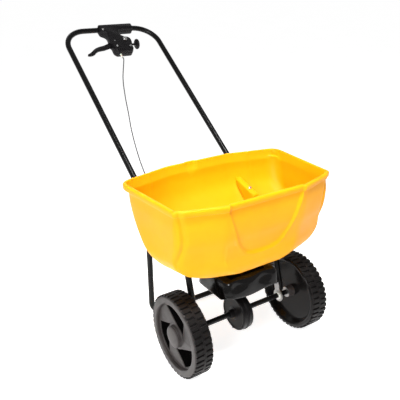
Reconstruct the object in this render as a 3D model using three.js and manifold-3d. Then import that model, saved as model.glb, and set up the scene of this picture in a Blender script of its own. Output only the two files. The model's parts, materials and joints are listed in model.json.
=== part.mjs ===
// A walk-behind garden spreader, in millimetres, +Z up, the front towards -Y and the handle towards +Y.
// Inside the assembly, the axle lies on Y = 0 and the ground is Z = 0. The exported group moves the whole
// assembly along Y, so that the origin is under the middle of its bounding box.
import * as THREE from "three";
import { ParametricGeometry } from "three/addons/geometries/ParametricGeometry.js";
import { mergeVertices } from "three/addons/utils/BufferGeometryUtils.js";
import Module from "manifold-3d";

const wasm = await Module();
wasm.setup();

// ---------------------------------------------------------------- driving dimensions
const GAP = 0.3; // between pieces that touch

const WHEEL_RADIUS = 125;
const WHEEL_INNER_X = 185;
const WHEEL_OUTER_X = 245;
const AXLE_RADIUS = 8.5;
const AXLE_HALF_LENGTH = 241;
const HUB_RADIUS = 19; // of the hub on the inner side
const HUB_FACE_RADIUS = 33;

const TUBE_RADIUS = 9.5;
const TUBE_WALL = 1.5;
const HANDLE_SLOPE = THREE.MathUtils.degToRad(36.3);
const HANDLE_X = 182.3; // centre of each handle tube
const FRAME_X = HANDLE_X - 2 * TUBE_RADIUS - 0.4; // the frame tubes lie inside the handle tubes
const BAR_Y = 860;
const BAR_Z = 893.3;
const HANDLE_BEND = 83;
const HANDLE_LOW_Y = 150; // lower end of the handle tube
const FRAME_TOP_Y = 266; // upper end of the frame tube
const FRAME_BEND_Y = 52;
const FRAME_BEND = 60;
const STAND_Y = 285;
const STAND_BEND = 48;

const RIM_Z = 548;
const RIM_BAND = 16; // height of the rim band
const RIM_PROUD = 6; // how far the band stands out
const HOPPER_WALL = 3.5;
const FLOOR_Z = 299; // underside of the hopper's flat floor

const PLATE_Z = 293.6; // underside of the outlet plate
const PLATE_THICK = 5;
const GATE_THICK = 3.5;
const GATE_TRAVEL = 22;
const SHROUD_TOP = 281;
const SHROUD_BOTTOM = 222;
const SHROUD_WALL = 3;

const GEARBOX_RADIUS = 58;
const GEARBOX_LEFT_X = -30;
const GEARBOX_SPLIT_X = -11.5;
const GEARBOX_RIGHT_X = 7;
const SHAFT_RADIUS = 5;
const CROWN_TEETH = 36;
const PINION_TEETH = 9;

const TRIGGER_PIVOT = new THREE.Vector2(-8, -78); // in the control unit's own plane
const KNOB_Y = -87;
const KNOB_RADIUS = 19;

// ---------------------------------------------------------------- materials
const material = (color, roughness, metalness) =>
  new THREE.MeshStandardMaterial({ color, roughness, metalness });
const YELLOW_PLASTIC = material(0xf7b90c, 0.35, 0);
const BLACK_STEEL = material(0x17171a, 0.4, 0.3);
const GLOSS_BLACK = material(0x0f0f11, 0.15, 0);
const WHEEL_BLACK = material(0x1f1e1e, 0.55, 0);
const CONTROL_BLACK = material(0x19181a, 0.45, 0);
const ZINC = material(0xb9bcc0, 0.35, 1);
const NYLON = material(0xe6e3da, 0.5, 0);
const CABLE_BLACK = material(0x2a2a2c, 0.5, 0);

// ---------------------------------------------------------------- solids
const assembly = new THREE.Group();

function add(name, geometry, look, parent = assembly) {
  const mesh = new THREE.Mesh(geometry, look);
  mesh.name = name;
  parent.add(mesh);
  return mesh;
}

function solidOf(geometry) {
  const bare = geometry.index ? geometry.toNonIndexed() : geometry.clone();
  bare.deleteAttribute("normal");
  bare.deleteAttribute("uv");
  const merged = mergeVertices(bare, 1e-4);
  const triVerts = new Uint32Array(merged.index.array);
  const vertProperties = merged.attributes.position.array;
  let solid = new wasm.Manifold(new wasm.Mesh({ numProp: 3, vertProperties, triVerts }));
  if (solid.volume() < 0) {
    for (let i = 0; i < triVerts.length; i += 3) {
      [triVerts[i + 1], triVerts[i + 2]] = [triVerts[i + 2], triVerts[i + 1]];
    }
    solid = new wasm.Manifold(new wasm.Mesh({ numProp: 3, vertProperties, triVerts }));
  }
  return solid;
}

function geometryOf(solid) {
  const mesh = solid.getMesh();
  const geometry = new THREE.BufferGeometry();
  geometry.setAttribute("position", new THREE.BufferAttribute(mesh.vertProperties, 3));
  geometry.setIndex(new THREE.BufferAttribute(mesh.triVerts, 1));
  geometry.computeVertexNormals();
  return geometry;
}

const outward = (geometry) => geometryOf(solidOf(geometry));
const cut = (body, ...tools) =>
  geometryOf(tools.reduce((left, tool) => left.subtract(solidOf(tool)), solidOf(body)));
const join = (body, ...more) =>
  geometryOf(more.reduce((sum, piece) => sum.add(solidOf(piece)), solidOf(body)));

// A copy for the left (-1) or the right (1) side.
const sided = (geometry, side) => outward(geometry.clone().scale(side, 1, 1));

// A box from its lowest to its highest corner.
function box(x0, y0, z0, x1, y1, z1) {
  const geometry = new THREE.BoxGeometry(x1 - x0, y1 - y0, z1 - z0);
  return geometry.translate((x0 + x1) / 2, (y0 + y1) / 2, (z0 + z1) / 2);
}

// A round bar between two points.
function rod(radius, start, end, sides = 16) {
  const from = new THREE.Vector3(...start);
  const along = new THREE.Vector3(...end).sub(from);
  const geometry = new THREE.CylinderGeometry(radius, radius, along.length(), sides);
  const upright = new THREE.Vector3(0, 1, 0);
  const turn = new THREE.Quaternion().setFromUnitVectors(upright, along.clone().normalize());
  return geometry.applyQuaternion(turn).translate(...from.addScaledVector(along, 0.5).toArray());
}

// A turned piece. The profile is a list of [radius, distance along the axis].
function turned(profile, axis, sides = 24) {
  const points = profile.map(([radius, along]) => new THREE.Vector2(radius, along));
  const geometry = new THREE.LatheGeometry(points, sides);
  if (axis === "x") geometry.rotateZ(-Math.PI / 2);
  if (axis === "z") geometry.rotateX(Math.PI / 2);
  return outward(geometry);
}

// A ring, turned about an axis.
const ring = (inner, outer, from, to, axis, sides) =>
  turned([[inner, from], [outer, from], [outer, to], [inner, to], [inner, from]], axis, sides);

// A flat outline pushed up along Z.
function slab(shape, from, to, curveSegments = 6) {
  const geometry = new THREE.ExtrudeGeometry(shape, { depth: to - from, bevelEnabled: false, curveSegments });
  return geometry.translate(0, 0, from);
}

// An outline drawn in the Y-Z plane, pushed along X.
function sideSlab(points, from, to) {
  const shape = new THREE.Shape(points.map(([y, z]) => new THREE.Vector2(y, z)));
  const geometry = new THREE.ExtrudeGeometry(shape, { depth: to - from, bevelEnabled: false });
  geometry.rotateX(Math.PI / 2).rotateZ(Math.PI / 2);
  return outward(geometry.translate(from, 0, 0));
}

// ---------------------------------------------------------------- bent tubes
// A path of straight runs and arcs, which only has stations where the direction changes.
class BentPath extends THREE.Curve {
  constructor(corners, bend, stepsPerBend = 6) {
    super();
    const points = corners.map((corner) => new THREE.Vector3(...corner));
    const first = points[1].clone().sub(points[0]).normalize();
    this.stations = [{ point: points[0], tangent: first }];
    for (let i = 1; i < points.length - 1; i++) {
      const into = points[i].clone().sub(points[i - 1]).normalize();
      const out = points[i + 1].clone().sub(points[i]).normalize();
      const angle = into.angleTo(out);
      const start = points[i].clone().addScaledVector(into, -bend * Math.tan(angle / 2));
      const inward = out.clone().sub(into).normalize();
      const centre = points[i].clone().addScaledVector(inward, bend / Math.cos(angle / 2));
      const spoke = start.clone().sub(centre);
      for (let step = 0; step <= stepsPerBend; step++) {
        const swept = (angle * step) / stepsPerBend;
        const point = centre.clone().addScaledVector(spoke, Math.cos(swept));
        point.addScaledVector(into, bend * Math.sin(swept));
        const tangent = into.clone().multiplyScalar(Math.cos(swept));
        tangent.addScaledVector(spoke, -Math.sin(swept) / bend);
        this.stations.push({ point, tangent: tangent.normalize() });
      }
    }
    const last = points[points.length - 1];
    this.stations.push({ point: last, tangent: last.clone().sub(points[points.length - 2]).normalize() });
  }
  station(t) {
    return this.stations[Math.round(t * (this.stations.length - 1))];
  }
  getPoint(t, target = new THREE.Vector3()) {
    return target.copy(this.station(t).point);
  }
  getPointAt(t, target) {
    return this.getPoint(t, target);
  }
  getTangentAt(t, target = new THREE.Vector3()) {
    return target.copy(this.station(t).tangent);
  }
}

function tube(corners, bend, stepsPerBend) {
  const path = new BentPath(corners, bend, stepsPerBend);
  const section = new THREE.Shape().absarc(0, 0, TUBE_RADIUS, 0, 2 * Math.PI);
  section.holes.push(new THREE.Path().absarc(0, 0, TUBE_RADIUS - TUBE_WALL, 0, 2 * Math.PI, true));
  const settings = { steps: path.stations.length - 1, curveSegments: 4, extrudePath: path };
  return outward(new THREE.ExtrudeGeometry(section, settings));
}

// ---------------------------------------------------------------- bolts
const BOLT_RADIUS = 3;
const BOLT_HOLE = 3.4;

// A bolt with its nut, lying along X, from the outside of its head to the end of its nut.
function crossBolt(name, side, y, z, from, to) {
  const profile = [
    [0, from],
    [6, from],
    [6, from + 4],
    [BOLT_RADIUS, from + 4],
    [BOLT_RADIUS, to - 5],
    [6, to - 5],
    [6, to],
    [0, to],
  ];
  add(name, sided(turned(profile, "x", 6).translate(0, y, z), side), ZINC);
}
const crossHole = (side, y, z) => rod(BOLT_HOLE, [side * 140, y, z], [side * 200, y, z], 6);

const SIDES = [
  ["left", -1],
  ["right", 1],
];
const handleZ = (y) => BAR_Z - (BAR_Y - y) * Math.tan(HANDLE_SLOPE);

// ---------------------------------------------------------------- hopper
// Each level of the tub: height, half width in front, front, back, corner radius, and how far it widens
// towards the back.
const HOPPER_LEVELS = [
  [FLOOR_Z, 50, -18, 48, 14, 14],
  [304, 80, -43, 54, 18, 14],
  [312, 118, -70, 58, 24, 16],
  [324, 166, -85, 66, 30, 18],
  [340, 216, -90, 90, 37, 26],
  [360, 243, -91, 118, 41, 30],
  [385, 258, -91, 151, 44, 26],
  [417, 262, -96, 190, 46, 19],
  [450, 263, -104, 220, 46, 15],
  [495, 265, -107, 236, 46, 15],
  [RIM_Z, 266, -107, 244, 46, 20],
];
const HOPPER_FRONT_SLANT = 0.155; // how far the front falls back at the sides, as a part of the half width
const HOPPER_BACK_SLANT = 0.16;
const HOPPER_MIDDLE_Y = 12; // of the floor and the outlet

// One corner of an outline, as points along its arc.
function cornerArc(previous, corner, next, radius, steps) {
  const into = corner.clone().sub(previous).normalize();
  const out = next.clone().sub(corner).normalize();
  const half = Math.acos(THREE.MathUtils.clamp(into.dot(out), -1, 1)) / 2;
  const reach = radius * Math.tan(half);
  const start = corner.clone().addScaledVector(into, -reach);
  const end = corner.clone().addScaledVector(out, reach);
  const curve = new THREE.QuadraticBezierCurve(start, corner, end);
  return curve.getPoints(steps);
}

// The tub's outline at one level: it bulges in front, widens backwards and narrows again at the back.
function hopperOutline({ halfWidth, front, back, corner, flare }) {
  const frontSide = front + HOPPER_FRONT_SLANT * halfWidth;
  const backSide = back - HOPPER_BACK_SLANT * halfWidth;
  const half = [
    [0.5 * halfWidth, front, halfWidth * 0.35, 1],
    [halfWidth, frontSide, corner * 0.6, 4],
    [halfWidth + flare, backSide, corner * 1.3, 5],
    [0.42 * halfWidth, back, halfWidth * 0.5, 1],
  ];
  const mirrored = half.map(([x, ...rest]) => [-x, ...rest]).reverse();
  const corners = [...half, ...mirrored];
  const at = (i) => new THREE.Vector2(...corners[(i + corners.length) % corners.length]);
  return corners.flatMap((entry, i) => cornerArc(at(i - 1), at(i), at(i + 1), entry[2], entry[3]));
}

// A row of the tub's surface, moved outwards and to another height.
const grown = (row, by, z) => ({
  z,
  halfWidth: row.halfWidth + by,
  front: row.front - by,
  back: row.back + by,
  corner: row.corner + by,
  flare: row.flare,
});

// The rows of the tub's surface, from the middle of its underside, up to the rim and down inside.
function hopperRows() {
  const outside = HOPPER_LEVELS.map(([z, halfWidth, front, back, corner, flare]) => ({
    z,
    halfWidth,
    front,
    back,
    corner,
    flare,
  }));
  const top = outside[outside.length - 1];
  const inside = outside.map((row, i) => {
    const below = outside[Math.max(i - 1, 0)];
    const above = outside[Math.min(i + 1, outside.length - 1)];
    const run = above.halfWidth - below.halfWidth;
    const rise = above.z - below.z;
    const length = Math.hypot(run, rise);
    const lift = i === 0 ? HOPPER_WALL : (HOPPER_WALL * run) / length;
    const inset = i === 0 ? 0 : (HOPPER_WALL * rise) / length;
    return grown(row, -inset, row.z + (i === outside.length - 1 ? 0 : lift));
  });
  const bandFoot = grown(top, GAP, RIM_Z - RIM_BAND);
  const bandLow = grown(top, RIM_PROUD, RIM_Z - RIM_BAND);
  const bandTop = grown(top, RIM_PROUD, RIM_Z);
  const middle = (z) => ({
    z,
    halfWidth: 0,
    front: HOPPER_MIDDLE_Y,
    back: HOPPER_MIDDLE_Y,
    corner: 0,
    flare: 0,
  });
  return [
    middle(FLOOR_Z),
    ...outside.slice(0, -1),
    bandFoot,
    bandLow,
    bandTop,
    ...inside.reverse(),
    middle(FLOOR_Z + HOPPER_WALL),
  ];
}

function hopperShell() {
  const rows = hopperRows();
  const outlines = rows.map(hopperOutline);
  const around = outlines[1].length;
  const surface = (u, v, target) => {
    const row = Math.round(v * (rows.length - 1));
    const centred = rows[row].halfWidth === 0;
    const middle = new THREE.Vector2(0, HOPPER_MIDDLE_Y);
    const point = centred ? middle : outlines[row][Math.round(u * around) % around];
    target.set(point.x, point.y, rows[row].z);
  };
  return new ParametricGeometry(surface, around, rows.length - 1);
}

// An upright rib on the right of the back slope, whose ends lie inside the wall.
const RIDGE_X = 140;
const RIDGE_HALF = 11;
const RIDGE_OUTLINE = [
  [217, 470],
  [118, 441],
  [121, 371],
  [141.5, 387.5],
  [178, 419],
  [206, 450],
];
const RIDGE_SCREW = [150, 451];
const RIDGE_TILT = Math.atan2(470 - 441, 209 - 118);

function makeHopper() {
  const ridge = sideSlab(RIDGE_OUTLINE, RIDGE_X - RIDGE_HALF, RIDGE_X + RIDGE_HALF);
  const [y, z] = RIDGE_SCREW;
  const across = (reach) => [RIDGE_X, y - reach * Math.sin(RIDGE_TILT), z + reach * Math.cos(RIDGE_TILT)];
  const screwHole = rod(2.3, across(-14), across(10), 8);
  const floorHoles = SIDES.map(([, side]) => floorScrewHole(side));
  const outlet = rod(24, [0, HOPPER_MIDDLE_Y, 290], [0, HOPPER_MIDDLE_Y, 310], 20);
  add("hopper", cut(join(hopperShell(), ridge), outlet, screwHole, ...floorHoles), YELLOW_PLASTIC);
}

function makeRidgeScrew() {
  const profile = [[0, -12], [2, -12], [2, 0.2], [5.5, 0.4], [5.5, 3.2], [4, 4.2], [0, 4.2]];
  const screw = add("hopper_screw", turned(profile, "z", 10), ZINC);
  screw.position.set(RIDGE_X, RIDGE_SCREW[0], RIDGE_SCREW[1] + GAP);
  screw.rotation.x = RIDGE_TILT;
}

// ---------------------------------------------------------------- outlet, gate and shroud
const FLOOR_SCREW_X = 46; // one on each side, through the arm, the plate and the hopper's floor
const FLOOR_SCREW_Y = 18;
const floorScrewHole = (side) =>
  rod(2.8, [side * FLOOR_SCREW_X, FLOOR_SCREW_Y, 270], [side * FLOOR_SCREW_X, FLOOR_SCREW_Y, 312], 8);
const LEGS = [[-54, -27], [54, -27], [-54, 50], [54, 50]]; // under the plate, pegged through the shroud
const PEG_HEAD_Z = 275;
const RAIL_X = 25.5;
const GATE_FRONT_Y = 9.5;
const GATE_BACK_Y = 92;
const RAIL_BACK_Y = 125;

function makeOutletPlate() {
  const plate = box(-62, -36, PLATE_Z, 62, 58, PLATE_Z + PLATE_THICK);
  const legProfile = [
    [0, PEG_HEAD_Z],
    [4, PEG_HEAD_Z],
    [4, SHROUD_TOP - SHROUD_WALL - GAP],
    [2, SHROUD_TOP - SHROUD_WALL - GAP],
    [2, SHROUD_TOP + GAP],
    [5, SHROUD_TOP + GAP],
    [5, PLATE_Z + 1],
    [0, PLATE_Z + 1],
  ];
  const legs = LEGS.map(([x, y]) => turned(legProfile, "z", 6).translate(x, y, 0));
  const bush = rod(8, [0, 0, 280], [0, 0, 300], 16);
  const port = box(-17, 13, 280, 17, 33, 300);
  const screws = SIDES.map(([, side]) => floorScrewHole(side));
  add("outlet_plate", cut(join(plate, ...legs), bush, port, ...screws), CONTROL_BLACK);
  const top = FLOOR_Z + HOPPER_WALL + GAP;
  const foot = PLATE_Z - 2 * GAP - ARM_THICK;
  const profile = [
    [0, foot - 4],
    [5, foot - 4],
    [5, foot],
    [2.5, foot],
    [2.5, top],
    [5, top],
    [4, top + 2.5],
    [0, top + 2.5],
  ];
  for (const [name, side] of SIDES) {
    const screw = turned(profile, "z", 8).translate(side * FLOOR_SCREW_X, FLOOR_SCREW_Y, 0);
    add(`floor_screw_${name}`, screw, ZINC);
  }
}

function makeGate() {
  const top = PLATE_Z - GAP;
  const plate = box(-RAIL_X + GAP, GATE_FRONT_Y, top - GATE_THICK, RAIL_X - GAP, GATE_BACK_Y, top);
  const tab = box(-8, GATE_BACK_Y - 3, top - 9, 8, GATE_BACK_Y, top - 1);
  const pull = rod(1.2, [0, GATE_BACK_Y - 1, 289], [0, RAIL_BACK_Y + 2, 289], 8);
  add("shutoff_gate", join(plate, tab, pull), ZINC);
  for (const [name, side] of SIDES) {
    const web = box(RAIL_X, -10, 286, RAIL_X + 8, RAIL_BACK_Y, top);
    const lip = box(RAIL_X - 6, GATE_FRONT_Y, 286, RAIL_X + 1, RAIL_BACK_Y, top - GATE_THICK - GAP);
    add(`gate_guide_${name}`, sided(join(web, lip), side), CONTROL_BLACK);
  }
  const bracket = box(-34, RAIL_BACK_Y + GAP, 283, 34, RAIL_BACK_Y + 3.3, 299);
  const ferrule = rod(4, [0, RAIL_BACK_Y + 1, 289], [0, RAIL_BACK_Y + 32, 289], 12);
  const hole = rod(1.9, [0, 100, 289], [0, 200, 289], 8);
  add("cable_bracket", cut(join(bracket, ferrule), hole), BLACK_STEEL);
}

function roundedRectangle(x0, y0, x1, y1, radius) {
  const shape = new THREE.Shape();
  shape.moveTo(x0 + radius, y0);
  shape.absarc(x1 - radius, y0 + radius, radius, -Math.PI / 2, 0);
  shape.absarc(x1 - radius, y1 - radius, radius, 0, Math.PI / 2);
  shape.absarc(x0 + radius, y1 - radius, radius, Math.PI / 2, Math.PI);
  shape.absarc(x0 + radius, y0 + radius, radius, Math.PI, 1.5 * Math.PI);
  return shape;
}

const SHROUD_HALF = 107;
const SHROUD_FRONT = -68;
const SHROUD_BACK = 98;
const SHROUD_CORNER = 34;
const SHROUD_MOUTH = 40; // radius of the hole in its top

function shroudOutline(inset) {
  const half = SHROUD_HALF - inset;
  return roundedRectangle(-half, SHROUD_FRONT + inset, half, SHROUD_BACK - inset, SHROUD_CORNER - inset);
}

function makeShroud() {
  const outer = slab(shroudOutline(0), SHROUD_BOTTOM, SHROUD_TOP, 3);
  const inner = slab(shroudOutline(SHROUD_WALL), SHROUD_BOTTOM - 5, SHROUD_TOP - SHROUD_WALL, 3);
  const mouth = rod(SHROUD_MOUTH, [0, HOPPER_MIDDLE_Y, 270], [0, HOPPER_MIDDLE_Y, 290], 20);
  const holes = LEGS.map(([x, y]) => rod(2.4, [x, y, 270], [x, y, 290], 6));
  add("impeller_shroud", cut(outer, inner, mouth, ...holes), GLOSS_BLACK);
}

// ---------------------------------------------------------------- steel arms
const ARM_THICK = 4;
const ARM_TUBE_Y = 70;
const ARM_TUBE_Z = handleZ(ARM_TUBE_Y);

function makeArms() {
  const inner = FRAME_X - TUBE_RADIUS - GAP;
  const outline = new THREE.Shape([
    new THREE.Vector2(36, 8),
    new THREE.Vector2(72, 8),
    new THREE.Vector2(inner, 40),
    new THREE.Vector2(inner, 68),
    new THREE.Vector2(62, 32),
    new THREE.Vector2(36, 28),
  ]);
  for (const [name, side] of SIDES) {
    const strap = slab(outline, PLATE_Z - GAP - ARM_THICK, PLATE_Z - GAP);
    const flange = box(inner - 3, 44, PLATE_Z - GAP - ARM_THICK, inner, 82, 322);
    const boltHole = crossHole(1, ARM_TUBE_Y, ARM_TUBE_Z);
    const arm = cut(join(strap, flange), boltHole, floorScrewHole(1));
    add(`hopper_arm_${name}`, sided(arm, side), BLACK_STEEL);
    crossBolt(`arm_bolt_${name}`, side, ARM_TUBE_Y, ARM_TUBE_Z, inner - 7.5, FRAME_X + TUBE_RADIUS + 5.5);
  }
}

// ---------------------------------------------------------------- frame, handle and stand
const HANDLE_BOLTS_Y = [175, 245];
const FLANGE_BOLT_RISE = 44; // above the axle, along the frame tube

const lowerTube = new THREE.Vector2(FRAME_BEND_Y, handleZ(FRAME_BEND_Y) - WHEEL_RADIUS);
const lowerDirection = lowerTube.clone().normalize();
const flangeBolt = lowerDirection.clone().multiplyScalar(FLANGE_BOLT_RISE);
flangeBolt.add(new THREE.Vector2(0, WHEEL_RADIUS));

function makeTubes() {
  const foot = lowerDirection.clone().multiplyScalar(15).add(new THREE.Vector2(0, WHEEL_RADIUS));
  for (const [name, side] of SIDES) {
    const corners = [
      [side * FRAME_X, foot.x, foot.y],
      [side * FRAME_X, FRAME_BEND_Y, handleZ(FRAME_BEND_Y)],
      [side * FRAME_X, FRAME_TOP_Y, handleZ(FRAME_TOP_Y)],
    ];
    const holes = HANDLE_BOLTS_Y.map((y) => crossHole(side, y, handleZ(y)));
    holes.push(crossHole(side, flangeBolt.x, flangeBolt.y));
    holes.push(crossHole(side, ARM_TUBE_Y, ARM_TUBE_Z));
    add(`frame_tube_${name}`, cut(tube(corners, FRAME_BEND, 3), ...holes), BLACK_STEEL);
  }
  const handleCorners = [
    [-HANDLE_X, HANDLE_LOW_Y, handleZ(HANDLE_LOW_Y)],
    [-HANDLE_X, BAR_Y, BAR_Z],
    [HANDLE_X, BAR_Y, BAR_Z],
    [HANDLE_X, HANDLE_LOW_Y, handleZ(HANDLE_LOW_Y)],
  ];
  const boltYs = [...HANDLE_BOLTS_Y, STAND_Y];
  const handleHoles = SIDES.flatMap(([, side]) => boltYs.map((y) => crossHole(side, y, handleZ(y))));
  add("handle_tube", cut(tube(handleCorners, HANDLE_BEND, 5), ...handleHoles), BLACK_STEEL);
  const standTop = handleZ(STAND_Y) + 14;
  const standCorners = [
    [-FRAME_X, STAND_Y, standTop],
    [-FRAME_X, STAND_Y, TUBE_RADIUS],
    [FRAME_X, STAND_Y, TUBE_RADIUS],
    [FRAME_X, STAND_Y, standTop],
  ];
  const standHoles = SIDES.map(([, side]) => crossHole(side, STAND_Y, handleZ(STAND_Y)));
  add("rear_stand", cut(tube(standCorners, STAND_BEND, 4), ...standHoles), BLACK_STEEL);
  const from = FRAME_X - TUBE_RADIUS - 4.5;
  const to = HANDLE_X + TUBE_RADIUS + 5.5;
  for (const [name, side] of SIDES) {
    crossBolt(`handle_bolt_low_${name}`, side, HANDLE_BOLTS_Y[0], handleZ(HANDLE_BOLTS_Y[0]), from, to);
    crossBolt(`handle_bolt_high_${name}`, side, HANDLE_BOLTS_Y[1], handleZ(HANDLE_BOLTS_Y[1]), from, to);
    crossBolt(`stand_bolt_${name}`, side, STAND_Y, handleZ(STAND_Y), from, to);
  }
}

// ---------------------------------------------------------------- axle, flanges and wheels
function makeAxle() {
  const z = WHEEL_RADIUS;
  add("axle", rod(AXLE_RADIUS, [-AXLE_HALF_LENGTH, 0, z], [AXLE_HALF_LENGTH, 0, z], 20), BLACK_STEEL);
  const inner = FRAME_X - TUBE_RADIUS - GAP;
  for (const [name, side] of SIDES) {
    const round = rod(21, [inner - 3, 0, z], [inner, 0, z], 16);
    const across = lowerDirection.clone().rotateAround(new THREE.Vector2(), -Math.PI / 2);
    const edge = (along, out) => {
      const point = lowerDirection.clone().multiplyScalar(along).addScaledVector(across, out);
      return [point.x, point.y + z];
    };
    const tab = sideSlab([edge(0, -11), edge(60, -11), edge(60, 11), edge(0, 11)], inner - 3, inner);
    const bore = rod(11.6, [inner - 10, 0, z], [inner + 10, 0, z], 12);
    const hole = crossHole(1, flangeBolt.x, flangeBolt.y);
    add(`axle_flange_${name}`, sided(cut(join(round, tab), bore, hole), side), ZINC);
    const outer = FRAME_X + TUBE_RADIUS + 5.5;
    crossBolt(`flange_bolt_${name}`, side, flangeBolt.x, flangeBolt.y, inner - 7.5, outer);
    const bushProfile = [
      [AXLE_RADIUS + GAP, inner - 8],
      [14, inner - 8],
      [14, inner - 3 - GAP],
      [11, inner - 3 - GAP],
      [11, inner + 6],
      [AXLE_RADIUS + GAP, inner + 6],
      [AXLE_RADIUS + GAP, inner - 8],
    ];
    add(`axle_bush_${name}`, sided(turned(bushProfile, "x", 12).translate(0, 0, z), side), NYLON);
    const washer = ring(AXLE_RADIUS + GAP, 17, WHEEL_INNER_X - 2.2, WHEEL_INNER_X - 0.4, "x", 12);
    add(`wheel_washer_${name}`, sided(washer.translate(0, 0, z), side), ZINC);
  }
}

// One swirling pocket in the wheel's face, in the wheel's own plane.
function pocketShape(turn) {
  const at = (radius, degrees) => {
    const angle = turn + THREE.MathUtils.degToRad(degrees);
    return new THREE.Vector2(radius * Math.cos(angle), radius * Math.sin(angle));
  };
  const shape = new THREE.Shape();
  const curveTo = (bend, end) => shape.quadraticCurveTo(...at(...bend).toArray(), ...at(...end).toArray());
  shape.moveTo(...at(40, 78).toArray());
  curveTo([62, 40], [92, 27]);
  curveTo([108, 58.5], [92, 90]);
  curveTo([66, 98], [40, 128]);
  curveTo([44, 103], [40, 78]);
  return shape;
}

function makeWheel(name, side) {
  const inner = WHEEL_INNER_X;
  const outer = WHEEL_OUTER_X;
  const radius = WHEEL_RADIUS;
  const profile = [
    [AXLE_RADIUS + GAP, inner + 0.2],
    [HUB_RADIUS, inner + 0.2],
    [HUB_RADIUS + 2, inner + 20],
    [radius - 27, inner + 20],
    [radius - 14, inner],
    [radius, inner + 8],
    [radius, outer - 8],
    [radius - 12, outer],
    [radius - 28, outer],
    [radius - 31, outer - 12],
    [HUB_FACE_RADIUS + 2, outer - 12],
    [HUB_FACE_RADIUS, outer - 3],
    [AXLE_RADIUS + GAP, outer - 3],
    [AXLE_RADIUS + GAP, inner + 0.2],
  ];
  const body = turned(profile, "x", 28);
  const pockets = [0, 1, 2].map((i) => {
    const pocket = slab(pocketShape((i * 2 * Math.PI) / 3), outer - 24, outer, 3);
    return pocket.rotateY(Math.PI / 2);
  });
  add(`wheel_${name}`, sided(cut(body, ...pockets).translate(0, 0, radius), side), WHEEL_BLACK);
  const cap = [
    [0, outer - 2.7],
    [HUB_FACE_RADIUS, outer - 2.7],
    [HUB_FACE_RADIUS, outer + 1],
    [HUB_FACE_RADIUS - 4, outer + 3.5],
    [16, outer + 5],
    [0, outer + 5.4],
  ];
  add(`hub_cap_${name}`, sided(turned(cap, "x", 16).translate(0, 0, radius), side), WHEEL_BLACK);
}

// ---------------------------------------------------------------- gearbox and impeller
// A gear's outline. Each tooth has a flat tip, and meets the next one at its root.
function gearShape(teeth, root, tip) {
  const points = [];
  for (let i = 0; i < teeth; i++) {
    for (const [share, radius] of [[0, root], [0.35, tip], [0.65, tip]]) {
      const angle = ((i + share) * 2 * Math.PI) / teeth;
      points.push(new THREE.Vector2(radius * Math.cos(angle), radius * Math.sin(angle)));
    }
  }
  return new THREE.Shape(points);
}

function makeGearbox() {
  const z = WHEEL_RADIUS;
  const bore = AXLE_RADIUS + 0.7;
  const wall = 3;
  const left = [
    [bore, GEARBOX_LEFT_X - 16],
    [13, GEARBOX_LEFT_X - 16],
    [13, GEARBOX_LEFT_X],
    [GEARBOX_RADIUS - 3, GEARBOX_LEFT_X],
    [GEARBOX_RADIUS, GEARBOX_LEFT_X + 3],
    [GEARBOX_RADIUS, GEARBOX_SPLIT_X - GAP],
    [GEARBOX_RADIUS - wall, GEARBOX_SPLIT_X - GAP],
    [GEARBOX_RADIUS - wall, GEARBOX_LEFT_X + wall],
    [bore, GEARBOX_LEFT_X + wall],
    [bore, GEARBOX_LEFT_X - 16],
  ];
  add("gearbox_cover", turned(left, "x", 24).translate(0, 0, z), CONTROL_BLACK);
  const right = [
    [0, GEARBOX_RIGHT_X + 14],
    [13, GEARBOX_RIGHT_X + 14],
    [13, GEARBOX_RIGHT_X],
    [GEARBOX_RADIUS - 3, GEARBOX_RIGHT_X],
    [GEARBOX_RADIUS, GEARBOX_RIGHT_X - 3],
    [GEARBOX_RADIUS, GEARBOX_SPLIT_X],
    [0, GEARBOX_SPLIT_X],
  ];
  const tower = rod(14, [0, 0, 150], [0, 0, 206], 16);
  const solid = join(turned(right, "x", 24).translate(0, 0, z), tower);
  const cavity = rod(GEARBOX_RADIUS - wall, [GEARBOX_SPLIT_X - 1, 0, z], [GEARBOX_RIGHT_X - wall, 0, z], 24);
  const beside = box(-20, -20, 120, GEARBOX_SPLIT_X, 20, z + GEARBOX_RADIUS + GAP);
  const pocket = rod(10.5, [0, 0, 150], [0, 0, 171], 16);
  const shaftBore = rod(8, [0, 0, 165], [0, 0, 220], 16);
  const axleBore = rod(bore, [-30, 0, z], [40, 0, z], 16);
  add("gearbox_housing", cut(solid, cavity, beside, pocket, shaftBore, axleBore), CONTROL_BLACK);

  const crownShape = gearShape(CROWN_TEETH, 38, 42);
  crownShape.holes.push(new THREE.Path().absarc(0, 0, 33, 0, 2 * Math.PI, true));
  const teeth = slab(crownShape, -16, -9.5, 6).rotateY(Math.PI / 2);
  const disc = rod(40, [-25, 0, 0], [-15, 0, 0], 20);
  const hub = rod(13, [-25, 0, 0], [-2, 0, 0], 16);
  const hole = rod(AXLE_RADIUS + GAP, [-40, 0, 0], [40, 0, 0], 16);
  add("crown_gear", cut(join(disc, teeth, hub), hole).translate(0, 0, z), NYLON);

  const pinionShape = gearShape(PINION_TEETH, 6.7, 9);
  pinionShape.holes.push(new THREE.Path().absarc(0, 0, SHAFT_RADIUS + GAP, 0, 2 * Math.PI, true));
  add("pinion_gear", outward(slab(pinionShape, 158, 169, 6)), NYLON);
  add("impeller_shaft", rod(SHAFT_RADIUS, [0, 0, 153], [0, 0, 324], 14), ZINC);
  add("shaft_bush_lower", ring(SHAFT_RADIUS + GAP, 7.7, 172, 207, "z", 12), NYLON);
  add("shaft_bush_upper", ring(SHAFT_RADIUS + GAP, 7.7, 291, 300, "z", 12), NYLON);
}

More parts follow.
